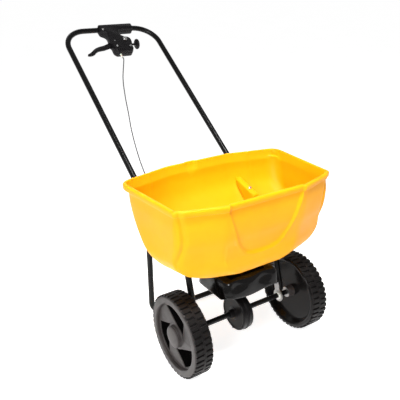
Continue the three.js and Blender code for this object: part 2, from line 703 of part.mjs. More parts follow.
function makeImpeller() {
  const disc = rod(60, [0, 0, 231], [0, 0, 234], 24);
  const hub = rod(12, [0, 0, 226], [0, 0, 262], 16);
  const fins = [0, 1, 2, 3].map((i) => box(8, -1.3, 233, 58, 1.3, 252).rotateZ((i * Math.PI) / 2));
  const bore = rod(SHAFT_RADIUS + GAP, [0, 0, 220], [0, 0, 270], 14);
  add("impeller", cut(join(disc, hub, ...fins), bore), CONTROL_BLACK);

  const agitatorHub = rod(9, [0, 0, 306], [0, 0, 320], 12);
  const fingers = [1, -1].map((way) => rod(2.5, [way * 6, 0, 313], [way * 32, 0, 322], 8));
  add("agitator", cut(join(agitatorHub, ...fingers), bore.translate(0, 0, 70)), CONTROL_BLACK);
}

// ---------------------------------------------------------------- control unit
// The unit has its own plane: X along the bar, Y up the handle's slope and Z square to the slope.
const control = new THREE.Group();
control.position.set(0, BAR_Y, BAR_Z);
control.rotation.x = HANDLE_SLOPE;
assembly.add(control);

const CONTROL_OUTLINE = [
  [-38, 13], [93, 13], [97, 8], [97, -12], [93, -15], [36, -15], [27, -26], [27, -42], [36, -53],
  [56, -60], [62, -70], [60, -90], [54, -98], [54, -120], [46, -131], [-14, -131], [-24, -118],
  [-22, -92], [-27, -84], [-27, -70], [-20, -48], [-22, -32], [-40, -20], [-42, 8],
];
const HOUSING_DEPTH = 17;
const CONTROL_SCREWS = [[-9, -106], [-30, -15.5], [44, -110]];
const CAP_NUT = [36, -72];

function makeControl() {
  const outline = new THREE.Shape(CONTROL_OUTLINE.map(([x, y]) => new THREE.Vector2(x, y)));
  const [px, py] = TRIGGER_PIVOT.toArray();
  const grip = rod(TUBE_RADIUS + 2 * GAP, [-80, 0, 0], [140, 0, 0], 12);
  const pocket = join(
    rod(14, [px, py, -5.5], [px, py, 5.5], 14),
    box(-60, py - 22, -5.5, px, py + 12, 5.5),
  );
  const springRoom = rod(9.5, [px, py, 5], [px, py, 13], 10);
  const screwBore = rod(4.4, [0, KNOB_Y, 0], [100, KNOB_Y, 0], 10);
  const ferruleBore = rod(2.2, [-3, -140, 0], [-3, -100, 0], 10);
  const pinHole = rod(3.4, [px, py, -40], [px, py, 40], 8);
  const holes = CONTROL_SCREWS.map(([x, y]) => rod(2.4, [x, y, -40], [x, y, 40], 6));
  const capHole = rod(4.3, [CAP_NUT[0], CAP_NUT[1], -40], [CAP_NUT[0], CAP_NUT[1], 40], 10);
  const shared = [grip, pocket, springRoom, screwBore, ferruleBore, pinHole, capHole, ...holes];
  add("control_housing_top", cut(slab(outline, GAP / 2, HOUSING_DEPTH), ...shared), CONTROL_BLACK, control);
  const base = slab(outline, -HOUSING_DEPTH, -GAP / 2);
  add("control_housing_base", cut(base, ...shared), CONTROL_BLACK, control);
  for (const [i, [x, y]] of CONTROL_SCREWS.entries()) {
    const top = HOUSING_DEPTH + GAP;
    const foot = 1 - HOUSING_DEPTH;
    const profile = [[0, foot], [2, foot], [2, top], [4.5, top], [3.4, top + 2.4], [0, top + 2.8]];
    add(`control_screw_${i + 1}`, turned(profile, "z", 8).translate(x, y, 0), ZINC, control);
  }
  const top = HOUSING_DEPTH + GAP;
  const capProfile = [[0, -15], [4, -15], [4, top], [9, top], [8.6, top + 3], [6, top + 6], [0, top + 7.4]];
  add("clamp_cap_nut", turned(capProfile, "z", 12).translate(CAP_NUT[0], CAP_NUT[1], 0), ZINC, control);
}

// The squeeze trigger, with a wavy finger side.
function triggerShape() {
  const shape = new THREE.Shape();
  const [px, py] = TRIGGER_PIVOT.toArray();
  shape.moveTo(px + 3, py - 10.5);
  shape.absarc(px, py, 11, -Math.PI * 0.4, Math.PI * 0.62);
  shape.bezierCurveTo(px - 22, py + 4, px - 34, py - 4, px - 50, py - 8);
  shape.bezierCurveTo(px - 74, py - 12, px - 84, py - 18, px - 98, py - 30);
  shape.quadraticCurveTo(px - 110, py - 40, px - 119, py - 43);
  shape.quadraticCurveTo(px - 123, py - 49, px - 114, py - 50);
  shape.bezierCurveTo(px - 100, py - 50, px - 92, py - 42, px - 84, py - 32);
  shape.bezierCurveTo(px - 70, py - 22, px - 56, py - 27, px - 40, py - 22);
  shape.quadraticCurveTo(px - 20, py - 18, px + 3, py - 10.5);
  return shape;
}

function makeTrigger() {
  const [px, py] = TRIGGER_PIVOT.toArray();
  const pinHole = rod(3.4, [px, py, -40], [px, py, 40], 8);
  add("trigger_lever", cut(slab(triggerShape(), -4.8, 4.8, 5), pinHole), CONTROL_BLACK, control);
  const pin = [
    [0, -HOUSING_DEPTH - 2],
    [4.6, -HOUSING_DEPTH - 2],
    [4.6, -HOUSING_DEPTH - GAP],
    [3, -HOUSING_DEPTH - GAP],
    [3, HOUSING_DEPTH + 1],
    [0, HOUSING_DEPTH + 1.4],
  ];
  add("trigger_pin", turned(pin, "z", 8).translate(px, py, 0), ZINC, control);
  class Coil extends THREE.Curve {
    getPoint(t, target = new THREE.Vector3()) {
      const angle = t * 6 * Math.PI;
      return target.set(px + 6 * Math.cos(angle), py + 6 * Math.sin(angle), 6.6 + 5 * t);
    }
  }
  const wire = new THREE.Shape().absarc(0, 0, 0.8, 0, 2 * Math.PI);
  const spring = new THREE.ExtrudeGeometry(wire, { steps: 21, curveSegments: 3, extrudePath: new Coil() });
  add("trigger_spring", outward(spring), ZINC, control);
}

function makeKnob() {
  const knob = [
    [0, 22], [4, 22], [4, 76], [8, 77], [KNOB_RADIUS - 2, 79], [KNOB_RADIUS, 81], [KNOB_RADIUS, 85],
    [KNOB_RADIUS - 2, 87], [9, 86.5], [7, 89], [0, 89.5],
  ];
  add("adjuster_knob", turned(knob, "x", 14).translate(0, KNOB_Y, 0), CONTROL_BLACK, control);
}

function makeCable() {
  const profile = [[0, -122], [2, -122], [2, -131.4], [3.6, -131.4], [3.6, -146], [2.6, -150], [0, -150]];
  add("cable_ferrule_upper", turned(profile, "y", 10).translate(-3, 0, 0), NYLON, control);
  control.updateMatrixWorld(true);
  const exit = new THREE.Vector3(-3, -150.5, 0).applyMatrix4(control.matrix);
  const after = new THREE.Vector3(-4, -163, 0).applyMatrix4(control.matrix);
  const route = [
    [-38, 672, 742],
    [-62, 612, 692],
    [-80, 556, 646],
    [-97, 505, 603],
    [-112, 450, 562],
    [-126, 390, 523],
    [-134, 335, 484],
    [-132, 300, 437],
    [-112, 275, 380],
    [-76, 252, 329],
    [-36, 222, 298],
    [-8, 190, 289.5],
    [0, 172, 289],
    [0, RAIL_BACK_Y + 32.4, 289],
  ];
  const path = new THREE.CatmullRomCurve3([exit, after, ...route.map((point) => new THREE.Vector3(...point))]);
  const section = new THREE.Shape().absarc(0, 0, 1.8, 0, 2 * Math.PI);
  const cable = new THREE.ExtrudeGeometry(section, { steps: 56, curveSegments: 4, extrudePath: path });
  add("control_cable", outward(cable), CABLE_BLACK);
}

// ---------------------------------------------------------------- assembly
makeHopper();
makeRidgeScrew();
makeOutletPlate();
makeGate();
makeShroud();
makeArms();
makeTubes();
makeAxle();
makeWheel("left", -1);
makeWheel("right", 1);
makeGearbox();
makeImpeller();
makeControl();
makeTrigger();
makeKnob();
makeCable();

const bounds = new THREE.Box3().setFromObject(assembly);
assembly.position.y = -(bounds.min.y + bounds.max.y) / 2;

const spreader = new THREE.Group();
spreader.add(assembly);
export default spreader;
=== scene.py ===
"""The looks of the garden spreader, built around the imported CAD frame.

Lengths in the tables are millimetres, measured like the CAD model: X = 0 is the middle, Y = 0 is the axle
and Z = 0 is the ground. at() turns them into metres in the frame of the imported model.
"""

import json
import math

import bmesh
import bpy
import numpy as np
from mathutils import Matrix, Vector


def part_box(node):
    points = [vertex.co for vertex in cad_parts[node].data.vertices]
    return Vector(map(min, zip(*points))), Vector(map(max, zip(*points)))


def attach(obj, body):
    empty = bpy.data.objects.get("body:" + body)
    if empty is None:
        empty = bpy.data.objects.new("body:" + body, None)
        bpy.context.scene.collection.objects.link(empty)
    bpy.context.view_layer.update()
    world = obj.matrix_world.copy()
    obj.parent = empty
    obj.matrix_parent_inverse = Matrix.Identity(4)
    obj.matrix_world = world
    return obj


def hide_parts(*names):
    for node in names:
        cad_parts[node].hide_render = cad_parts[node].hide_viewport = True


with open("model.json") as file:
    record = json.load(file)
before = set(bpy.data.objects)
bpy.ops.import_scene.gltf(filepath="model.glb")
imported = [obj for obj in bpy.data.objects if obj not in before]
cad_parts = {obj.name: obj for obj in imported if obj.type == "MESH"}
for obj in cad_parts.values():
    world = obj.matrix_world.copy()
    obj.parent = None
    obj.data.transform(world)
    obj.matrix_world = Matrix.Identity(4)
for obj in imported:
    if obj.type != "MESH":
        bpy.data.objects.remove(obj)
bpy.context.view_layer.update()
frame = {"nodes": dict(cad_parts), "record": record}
nodes = frame["nodes"]

axle_low, axle_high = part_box("axle")
AXLE_Y = (axle_low[1] + axle_high[1]) / 2  # metres


def at(x, y, z):
    """A point in millimetres from the axle line and the ground, in metres in the model's frame."""
    return Vector((x / 1000, y / 1000 + AXLE_Y, z / 1000))


# ------------------------------------------------------------------ camera
CAMERA_PLACE = at(-869.7, -1107.7, 1090.0)
CAMERA_YAW = math.radians(-33.04)
CAMERA_PITCH = math.radians(-22.94)
CAMERA_ROLL = math.radians(-0.39)
CAMERA_LENS = 48.35

forward = Vector(
    (
        -math.sin(CAMERA_YAW) * math.cos(CAMERA_PITCH),
        math.cos(CAMERA_YAW) * math.cos(CAMERA_PITCH),
        math.sin(CAMERA_PITCH),
    )
)
level_right = forward.cross(Vector((0, 0, 1))).normalized()
level_up = level_right.cross(forward)
right = level_right * math.cos(CAMERA_ROLL) + level_up * math.sin(CAMERA_ROLL)
up = level_up * math.cos(CAMERA_ROLL) - level_right * math.sin(CAMERA_ROLL)
camera_data = bpy.data.cameras.new("camera")
camera_data.lens = CAMERA_LENS
camera_data.sensor_width = 36
camera_data.clip_start = 0.05
camera = bpy.data.objects.new("camera", camera_data)
bpy.context.scene.collection.objects.link(camera)
turn = Matrix((right, up, -forward)).transposed().to_4x4()
camera.matrix_world = Matrix.Translation(CAMERA_PLACE) @ turn
bpy.context.scene.camera = camera


# ------------------------------------------------------------------ materials
def new_material(name):
    material = bpy.data.materials.new(name)
    material.use_nodes = True
    tree = material.node_tree
    shader = tree.nodes["Principled BSDF"]
    return material, tree, shader


def noise(tree, scale, detail=3.0, roughness=0.55):
    """Noise in object coordinates."""
    place = tree.nodes.new("ShaderNodeTexCoord")
    texture = tree.nodes.new("ShaderNodeTexNoise")
    texture.inputs["Scale"].default_value = scale
    texture.inputs["Detail"].default_value = detail
    texture.inputs["Roughness"].default_value = roughness
    tree.links.new(place.outputs["Object"], texture.inputs["Vector"])
    return texture.outputs["Fac"]


def ramp(tree, value, stops):
    """A colour ramp. Each stop is (position, colour)."""
    node = tree.nodes.new("ShaderNodeValToRGB")
    node.color_ramp.elements[0].position = stops[0][0]
    node.color_ramp.elements[0].color = (*stops[0][1], 1)
    node.color_ramp.elements[1].position = stops[-1][0]
    node.color_ramp.elements[1].color = (*stops[-1][1], 1)
    for position, color in stops[1:-1]:
        node.color_ramp.elements.new(position).color = (*color, 1)
    tree.links.new(value, node.inputs["Fac"])
    return node.outputs["Color"]


def span(tree, value, low, high):
    """value, from 0.3 to 0.7, as a number from low to high."""
    node = tree.nodes.new("ShaderNodeMapRange")
    node.inputs["From Min"].default_value = 0.3
    node.inputs["From Max"].default_value = 0.7
    node.inputs["To Min"].default_value = low
    node.inputs["To Max"].default_value = high
    tree.links.new(value, node.inputs["Value"])
    return node.outputs["Result"]


def bumps(tree, layers):
    """A chain of bump nodes. Each layer is (height, strength, distance in metres)."""
    normal = None
    for height, strength, distance in layers:
        node = tree.nodes.new("ShaderNodeBump")
        node.inputs["Strength"].default_value = strength
        node.inputs["Distance"].default_value = distance
        tree.links.new(height, node.inputs["Height"])
        if normal is not None:
            tree.links.new(normal, node.inputs["Normal"])
        normal = node.outputs["Normal"]
    return normal


PATCH_SCALE, SMUDGE_SCALE, WAVE_SCALE = 9.0, 26.0, 22.0
FINE_DEPTH, WAVE_DEPTH = 0.0004, 0.002  # metres


def finish(name, dark, light, rough, fine_scale, fine_bump, metallic=0.0, wave_bump=0.0, **sockets):
    """A finish whose colour runs between dark and light in soft patches, and whose roughness runs over rough.

    fine_scale and fine_bump are the grain, and wave_bump is the slow waviness of a moulded skin.
    """
    material, tree, shader = new_material(name)
    patches = noise(tree, PATCH_SCALE, 4.0, 0.6)
    tree.links.new(ramp(tree, patches, [(0.32, dark), (0.68, light)]), shader.inputs["Base Color"])
    smudge = noise(tree, SMUDGE_SCALE, 5.0, 0.65)
    tree.links.new(span(tree, smudge, *rough), shader.inputs["Roughness"])
    layers = [(noise(tree, fine_scale, 2.0), fine_bump, FINE_DEPTH)]
    if wave_bump:
        layers.append((noise(tree, WAVE_SCALE, 1.0), wave_bump, WAVE_DEPTH))
    tree.links.new(bumps(tree, layers), shader.inputs["Normal"])
    shader.inputs["Metallic"].default_value = metallic
    for socket, value in sockets.items():
        shader.inputs[socket.replace("_", " ")].default_value = value
    return material


YELLOW = finish(
    "hopper_yellow",
    (0.92, 0.375, 0.002),
    (0.95, 0.405, 0.003),
    (0.34, 0.44),
    420,
    0.06,
    wave_bump=0.05,
    Specular_IOR_Level=0.16,
)
STEEL_BLACK = finish(
    "black_powder_coat",
    (0.003, 0.003, 0.003),
    (0.005, 0.005, 0.005),
    (0.24, 0.34),
    900,
    0.1,
    Specular_IOR_Level=0.18,
)
PLASTIC_BLACK = finish(
    "black_plastic",
    (0.003, 0.0026, 0.0026),
    (0.006, 0.005, 0.005),
    (0.3, 0.42),
    700,
    0.12,
    Specular_IOR_Level=0.16,
)
SHROUD_BLACK = finish(
    "gloss_black_plastic",
    (0.0022, 0.0018, 0.0017),
    (0.004, 0.0034, 0.0032),
    (0.08, 0.16),
    500,
    0.03,
    wave_bump=0.22,
    Specular_IOR_Level=0.3,
)
CONTROL_BLACK = finish(
    "control_black",
    (0.005, 0.0042, 0.005),
    (0.009, 0.008, 0.009),
    (0.36, 0.5),
    1500,
    0.25,
    Specular_IOR_Level=0.16,
)
WHEEL_BLACK = finish(
    "wheel_black",
    (0.032, 0.027, 0.026),
    (0.048, 0.041, 0.039),
    (0.38, 0.52),
    1100,
    0.2,
    Specular_IOR_Level=0.3,
)
TREAD_BLACK = finish(
    "tread_black",
    (0.004, 0.0033, 0.0033),
    (0.009, 0.0078, 0.0075),
    (0.4, 0.6),
    900,
    0.3,
    Specular_IOR_Level=0.14,
)
# Painted shade: a far darker, glossier copy of the wheel plastic for the wheel's recesses, that is the pocket
# walls, its inner side and the dish behind the face plate.
DISH_PAINTED_SHADE = finish(
    "dish_painted_shade",
    (0.0025, 0.0022, 0.0022),
    (0.005, 0.0042, 0.004),
    (0.14, 0.24),
    800,
    0.05,
    Specular_IOR_Level=0.16,
)
ZINC = finish("zinc_plate", (0.36, 0.36, 0.36), (0.52, 0.52, 0.51), (0.24, 0.4), 1200, 0.08, metallic=1.0)
NYLON = finish("nylon", (0.68, 0.66, 0.60), (0.76, 0.74, 0.69), (0.4, 0.5), 900, 0.08, Subsurface_Weight=0.1)
JACKET = finish("cable_jacket", (0.040, 0.040, 0.042), (0.062, 0.062, 0.064), (0.35, 0.5), 1300, 0.15)

LOOKS = {
    "hopper_plastic": YELLOW,
    "black_plastic": PLASTIC_BLACK,
    "gloss_black_plastic": SHROUD_BLACK,
    "control_plastic": CONTROL_BLACK,
    "wheel_plastic": WHEEL_BLACK,
    "black_steel": STEEL_BLACK,
    "zinc_steel": ZINC,
    "nylon": NYLON,
    "cable_jacket": JACKET,
}


# ------------------------------------------------------------------ mesh helpers
def piece(name, points, faces, slot, body="frame", replaced=(), look=None, smooth=35, bevel=0.0, segments=3):
    """A mesh object from points in millimetres, which rides on a body and may stand for CAD nodes.

    smooth is the angle, in degrees, over which an edge stays sharp. bevel rounds the sharp edges, in
    millimetres.
    """
    mesh = bpy.data.meshes.new(name)
    mesh.from_pydata([at(*point) for point in points], [], faces)
    mesh.validate()
    work = bmesh.new()
    work.from_mesh(mesh)
    bmesh.ops.remove_doubles(work, verts=work.verts, dist=1e-6)
    bmesh.ops.recalc_face_normals(work, faces=work.faces)
    work.to_mesh(mesh)
    work.free()
    mesh.shade_smooth()
    mesh.set_sharp_from_angle(angle=math.radians(smooth))
    mesh.materials.append(look or LOOKS[slot])
    thing = bpy.data.objects.new(name, mesh)
    bpy.context.scene.collection.objects.link(thing)
    if bevel:
        rounding = thing.modifiers.new("rounding", "BEVEL")
        rounding.width = bevel / 1000
        rounding.segments = segments
        rounding.limit_method = "ANGLE"
        rounding.angle_limit = math.radians(32)
    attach(thing, body)
    if replaced:
        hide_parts(*replaced)
    return thing


def loft(rows, closed=True, start_cap=False, end_cap=False):
    """Points and faces of a surface through rows of equally many points."""
    width = len(rows[0])
    points = [point for row in rows for point in row]
    faces = []
    last = width if closed else width - 1
    for r in range(len(rows) - 1):
        for c in range(last):
            d = (c + 1) % width
            faces.append((r * width + c, r * width + d, (r + 1) * width + d, (r + 1) * width + c))
    if start_cap:
        faces.append(tuple(reversed(range(width))))
    if end_cap:
        faces.append(tuple(range((len(rows) - 1) * width, len(rows) * width)))
    return points, faces


def merged(*shapes):
    """One list of points and faces from several."""
    points, faces = [], []
    for shape_points, shape_faces in shapes:
        start = len(points)
        points.extend(shape_points)
        faces.extend(tuple(i + start for i in face) for face in shape_faces)
    return points, faces


def moved(shape, place):
    """The shape with each point put through place(x, y, z)."""
    points, faces = shape
    return [place(*point) for point in points], faces


def lathe(profile, axis, centre, steps=64, start_cap=False, end_cap=False):
    """A turned surface. The profile is a list of (radius, place along the axis)."""
    rows = []
    cx, cy, cz = centre
    for radius, along in profile:
        row = []
        for i in range(steps):
            a = 2 * math.pi * i / steps
            u, v = radius * math.cos(a), radius * math.sin(a)
            if axis == "x":
                row.append((cx + along, cy + u, cz + v))
            elif axis == "y":
                row.append((cx + v, cy + along, cz + u))
            else:
                row.append((cx + u, cy + v, cz + along))
        rows.append(row)
    return loft(rows, True, start_cap, end_cap)


def shares(count):
    """Numbers from 0 to 1, with count gaps between them."""
    return [k / count for k in range(count + 1)]


def quadratic(a, b, c, count):
    """Points from a to c on a curve that leaves towards b and arrives from b."""
    return [a * (1 - t) ** 2 + b * (2 * t * (1 - t)) + c * (t * t) for t in shares(count)]


def rounded(profile, radius, steps=4):
    """A profile with its inner corners rounded."""
    out = [profile[0]]
    for i in range(1, len(profile) - 1):
        before, corner, after = (Vector(profile[j]) for j in (i - 1, i, i + 1))
        into, away = before - corner, after - corner
        reach = min(radius, into.length * 0.45, away.length * 0.45)
        start = corner + into.normalized() * reach
        end = corner + away.normalized() * reach
        out.extend(tuple(point) for point in quadratic(start, corner, end, steps))
    out.append(profile[-1])
    return out


def prism(outline, low, high, place):
    """A solid between two levels. place turns (u, v, level) into a point in millimetres."""
    rows = [[place(u, v, level) for u, v in outline] for level in (low, high)]
    return loft(rows, True, True, True)


def tube(path, radius, sides=20, caps=True):
    """A round tube along a path of points, with a section that doesn't twist."""
    path = [Vector(point) for point in path]
    tangents = []
    for i in range(len(path)):
        before, after = path[max(i - 1, 0)], path[min(i + 1, len(path) - 1)]
        tangents.append((after - before).normalized())
    normal = tangents[0].orthogonal().normalized()
    rows = []
    for point, tangent in zip(path, tangents):
        normal = (normal - tangent * normal.dot(tangent)).normalized()
        across = tangent.cross(normal)
        row = []
        for k in range(sides):
            a = 2 * math.pi * k / sides
            row.append(tuple(point + normal * radius * math.cos(a) + across * radius * math.sin(a)))
        rows.append(row)
    return loft(rows, True, caps, caps)


def bent(corners, bend, steps=14):
    """A path of straight runs joined by arcs."""
    points = [Vector(corner) for corner in corners]
    path = [points[0]]
    for i in range(1, len(points) - 1):
        into = (points[i] - points[i - 1]).normalized()
        away = (points[i + 1] - points[i]).normalized()
        angle = into.angle(away)
        start = points[i] - into * bend * math.tan(angle / 2)
        centre = points[i] + (away - into).normalized() * (bend / math.cos(angle / 2))
        spoke = start - centre
        for k in range(steps + 1):
            swept = angle * k / steps
            path.append(centre + spoke * math.cos(swept) + into * bend * math.sin(swept))
    path.append(points[-1])
    return path


def smooth_path(points, steps=8):
    """A Catmull-Rom curve through the points."""
    points = [Vector(p) for p in points]
    out = []
    for i in range(len(points) - 1):
        a = points[max(i - 1, 0)]
        b, c = points[i], points[i + 1]
        d = points[min(i + 2, len(points) - 1)]
        for k in range(steps):
            t = k / steps
            out.append(
                0.5
                * (
                    2 * b
                    + (c - a) * t
                    + (2 * a - 5 * b + 4 * c - d) * t * t
                    + (3 * b - a - 3 * c + d) * t**3
                )
            )
    out.append(points[-1])
    return out


SIDES = (("left", -1), ("right", 1))

# ------------------------------------------------------------------ tubes
TUBE_RADIUS = 9.5
SLOPE = math.radians(36.3)
HANDLE_X = 182.3
FRAME_X = HANDLE_X - 2 * TUBE_RADIUS - 0.4
BAR_Y, BAR_Z = 860, 893.3
HANDLE_BEND, STAND_BEND, FRAME_BEND = 83, 48, 60
WHEEL_RADIUS = 125
STAND_Y = 285
HANDLE_FOOT_Y = 150
TUBE_SIDES = 28
TUBE_END_BEVEL = 0.8


def handle_z(y):
    """The height of the handle's slope."""
    return BAR_Z - (BAR_Y - y) * math.tan(SLOPE)


handle_path = bent(
    [
        (-HANDLE_X, HANDLE_FOOT_Y, handle_z(HANDLE_FOOT_Y)),
        (-HANDLE_X, BAR_Y, BAR_Z),
        (HANDLE_X, BAR_Y, BAR_Z),
        (HANDLE_X, HANDLE_FOOT_Y, handle_z(HANDLE_FOOT_Y)),
    ],
    HANDLE_BEND,
)
handle = tube(handle_path, TUBE_RADIUS, TUBE_SIDES)
piece("handle", *handle, "black_steel", replaced=["handle_tube"], bevel=TUBE_END_BEVEL)
stand_top = handle_z(STAND_Y) + 14
stand_path = bent(
    [
        (-FRAME_X, STAND_Y, stand_top),
        (-FRAME_X, STAND_Y, TUBE_RADIUS),
        (FRAME_X, STAND_Y, TUBE_RADIUS),
        (FRAME_X, STAND_Y, stand_top),
    ],
    STAND_BEND,
)
stand = tube(stand_path, TUBE_RADIUS, TUBE_SIDES)
piece("stand", *stand, "black_steel", replaced=["rear_stand"], bevel=TUBE_END_BEVEL)
FRAME_BEND_Y, FRAME_TOP_Y = 52, 266
knee = Vector((FRAME_BEND_Y, handle_z(FRAME_BEND_Y) - WHEEL_RADIUS))
down = knee.normalized()
for side_name, side in SIDES:
    foot = down * 15 + Vector((0, WHEEL_RADIUS))
    x = side * FRAME_X
    corners = [
        (x, foot.x, foot.y),
        (x, FRAME_BEND_Y, handle_z(FRAME_BEND_Y)),
        (x, FRAME_TOP_Y, handle_z(FRAME_TOP_Y)),
    ]
    path = bent(corners, FRAME_BEND)
    piece(
        f"lower_tube_{side_name}",
        *tube(path, TUBE_RADIUS, TUBE_SIDES),
        "black_steel",
        replaced=[f"frame_tube_{side_name}"],
        bevel=TUBE_END_BEVEL,
    )


# ------------------------------------------------------------------ bolts
HEX_RADIUS, THREAD_RADIUS = 5.2, 2.9


def hexagon(turn_by):
    """The outline of a bolt's head or nut."""
    angles = [turn_by + k * math.pi / 3 for k in range(6)]
    return [(HEX_RADIUS * math.cos(a), HEX_RADIUS * math.sin(a)) for a in angles]


def cross_bolt(name, side, y, z, start, end, turned_by):
    """A bolt along X: a domed head and its washer on the inside, a nut and the thread's end outside."""
    thread = THREAD_RADIUS
    centre = (0, y, z)
    capped = (False, True)

    def across(u, v, x):
        return (x, y + u, z + v)

    shapes = [
        lathe([(3, start + 3.5), (6, start + 3.5), (6, start + 4.5), (3, start + 4.5)], "x", centre, 24),
        prism(hexagon(turned_by), start + 0.6, start + 3.5, across),
        lathe([(4.4, start + 0.7), (3.4, start + 0.1), (0.2, start)], "x", centre, 24, *capped),
        prism(hexagon(turned_by + 0.4), end - 5, end - 1.2, across),
        lathe([(thread, end - 1.4), (thread, end - 0.4), (2.4, end), (0.2, end)], "x", centre, 20, *capped),
        lathe([(thread, start + 4), (thread, end - 4)], "x", centre, 20),
    ]
    points, faces = merged(*shapes)
    points = [(side * px, py, pz) for px, py, pz in points]
    piece(name + "_hex", points, faces, "zinc_steel", replaced=[name], bevel=0.25, segments=2)


inner_x = FRAME_X - TUBE_RADIUS
handle_outer = HANDLE_X + TUBE_RADIUS + 5.5
frame_outer = FRAME_X + TUBE_RADIUS + 5.5
flange_y, flange_z = down * 44 + Vector((0, WHEEL_RADIUS))
BOLTS = [  # name, place along the slope and height, the two ends, how far the head is turned
    ("handle_bolt_low", 175, handle_z(175), inner_x - 4.5, handle_outer, 0.2),
    ("handle_bolt_high", 245, handle_z(245), inner_x - 4.5, handle_outer, 0.6),
    ("stand_bolt", STAND_Y, handle_z(STAND_Y), inner_x - 4.5, handle_outer, 0.1),
    ("arm_bolt", 70, handle_z(70), inner_x - 7.8, frame_outer, 0.5),
    ("flange_bolt", flange_y, flange_z, inner_x - 7.8, frame_outer, 0.3),
]
for side_name, side in SIDES:
    for bolt, *facts in BOLTS:
        cross_bolt(f"{bolt}_{side_name}", side, *facts)

# ------------------------------------------------------------------ hopper
RIM_Z, RIM_BAND, RIM_PROUD, RIM_CORNER = 548, 18, 7, 30
HOPPER_WALL = 3.5
LIP_NECK = 3.0  # how far the wall draws in under the lip
TUB_FLOOR_Z, TUB_HOLE_Y, TUB_HOLE_RADIUS = 299, 12, 24
HOPPER_LEVELS = [  # height, half width in front, front, back, corner radius, widening towards the back
    (TUB_FLOOR_Z, 50, -18, 48, 14, 14),
    (304, 80, -43, 54, 18, 14),
    (312, 118, -70, 58, 24, 16),
    (324, 166, -85, 66, 30, 18),
    (340, 216, -90, 90, 37, 26),
    (360, 243, -91, 118, 41, 30),
    (385, 258, -91, 151, 44, 26),
    (417, 262, -96, 190, 46, 19),
    (450, 263, -104, 220, 46, 15),
    (495, 265, -107, 236, 46, 15),
    (548, 266, -107, 244, 46, 20),
]


FRONT_SLANT, BACK_SLANT = 0.155, 0.16  # how far each side leans back from the middle, of the half width
CORNER_STEPS = 12
STRAIGHT_STEPS = (26, 22, 24, 40, 24, 22, 26, 84)  # after each corner


def tub_outline(half_width, front, back, corner, flare):
    """The tub's outline, as equally many points at every level, with rounded corners."""
    front_side = front + FRONT_SLANT * half_width
    back_side = back - BACK_SLANT * half_width
    half = [
        (0.5 * half_width, front, half_width * 0.35),
        (half_width, front_side, corner * 0.6),
        (half_width + flare, back_side, corner * 1.3),
        (0.42 * half_width, back, half_width * 0.5),
    ]
    corners = half + [(-x, y, r) for x, y, r in reversed(half)]
    arcs = []
    for i, (x, y, radius) in enumerate(corners):
        corner_point = Vector((x, y))
        before = Vector(corners[i - 1][:2])
        after = Vector(corners[(i + 1) % 8][:2])
        into, away = (before - corner_point).normalized(), (after - corner_point).normalized()
        reach = radius * math.tan((math.pi - into.angle(away)) / 2)
        start, end = corner_point + into * reach, corner_point + away * reach
        arcs.append(quadratic(start, corner_point, end, CORNER_STEPS))
    points = []
    for i, arc in enumerate(arcs):
        points.extend(arc[:-1])
        leave, arrive = arc[-1], arcs[(i + 1) % 8][0]
        count = STRAIGHT_STEPS[i]
        points.extend(leave.lerp(arrive, k / count) for k in range(count))
    return np.array([tuple(p) for p in points])


def through_levels(count):
    """The tub's levels with count rows between each pair, on a smooth curve."""
    rows = smooth_path([Vector(level[:3]) for level in HOPPER_LEVELS], count)
    rest = smooth_path([Vector(level[3:]) for level in HOPPER_LEVELS], count)
    return [(*a, *b) for a, b in zip(rows, rest)]


def polyline_distance(px, pz, line):
    """How far each point lies from a polyline."""
    best = np.full(px.shape, 1e9)
    for (ax, az), (bx, bz) in zip(line, line[1:]):
        dx, dz = bx - ax, bz - az
        t = np.clip(((px - ax) * dx + (pz - az) * dz) / (dx * dx + dz * dz), 0, 1)
        best = np.minimum(best, np.hypot(px - ax - t * dx, pz - az - t * dz))
    return best


def ease(value):
    """A soft step from 0 to 1."""
    value = np.clip(value, 0, 1)
    return value * value * (3 - 2 * value)


# Lines on the tub's skin, as (distance from the middle, height), with how deep and how wide each one is.
PANEL_EDGE = [(0, 374), (34, 375), (57, 382), (76, 399), (92, 427), (106, 462), (121, 503), (140, 560)]
PANEL_DEPTH, PANEL_SLOPE = 5.0, 9
PANEL_LIP, PANEL_LIP_WIDTH = 1.7, 3.2
SIDE_GROOVE = [(258, 352), (259, 378), (254, 396), (246, 430), (244, 462), (250, 500), (258, 532), (260, 560)]
SIDE_GROOVE_DEPTH, SIDE_GROOVE_WIDTH = 6.0, 7.0
BACK_GROOVE = [(176, 380), (180, 430), (184, 480), (186, 560)]
BACK_GROOVE_DEPTH, BACK_GROOVE_WIDTH = 2.2, 4.0
SCOOP_X, SCOOP_HALF, SCOOP_HEIGHT, SCOOP_DEPTH = -28, 27, 38, 5.0


def relief(x, z, facing):
    """How far the tub's skin stands out, in millimetres. facing is the Y part of its outward direction."""
    z = np.minimum(z, RIM_Z - RIM_BAND)
    front = ease((-facing - 0.25) / 0.3)
    back = ease((facing - 0.25) / 0.3)
    edge = polyline_distance(np.abs(x), z, PANEL_EDGE)
    level = np.interp(np.abs(x), [p[0] for p in PANEL_EDGE], [p[1] for p in PANEL_EDGE])
    inside = np.where(z > level, edge, -edge)
    panel = PANEL_LIP * np.exp(-((inside / PANEL_LIP_WIDTH) ** 2))
    panel -= PANEL_DEPTH * ease((inside + 1) / PANEL_SLOPE)
    groove = polyline_distance(np.abs(x), z, SIDE_GROOVE) / SIDE_GROOVE_WIDTH
    out = front * (panel - SIDE_GROOVE_DEPTH * np.exp(-(groove**2)))
    groove = polyline_distance(np.abs(x), z, BACK_GROOVE) / BACK_GROOVE_WIDTH
    scoop = np.hypot((x - SCOOP_X) / SCOOP_HALF, (z - RIM_Z + 2) / SCOOP_HEIGHT)
    out += back * (SCOOP_DEPTH * ease((1 - scoop) * 2.4) - BACK_GROOVE_DEPTH * np.exp(-(groove**2)))
    return out - LIP_NECK * ease((z - 490) / 40)


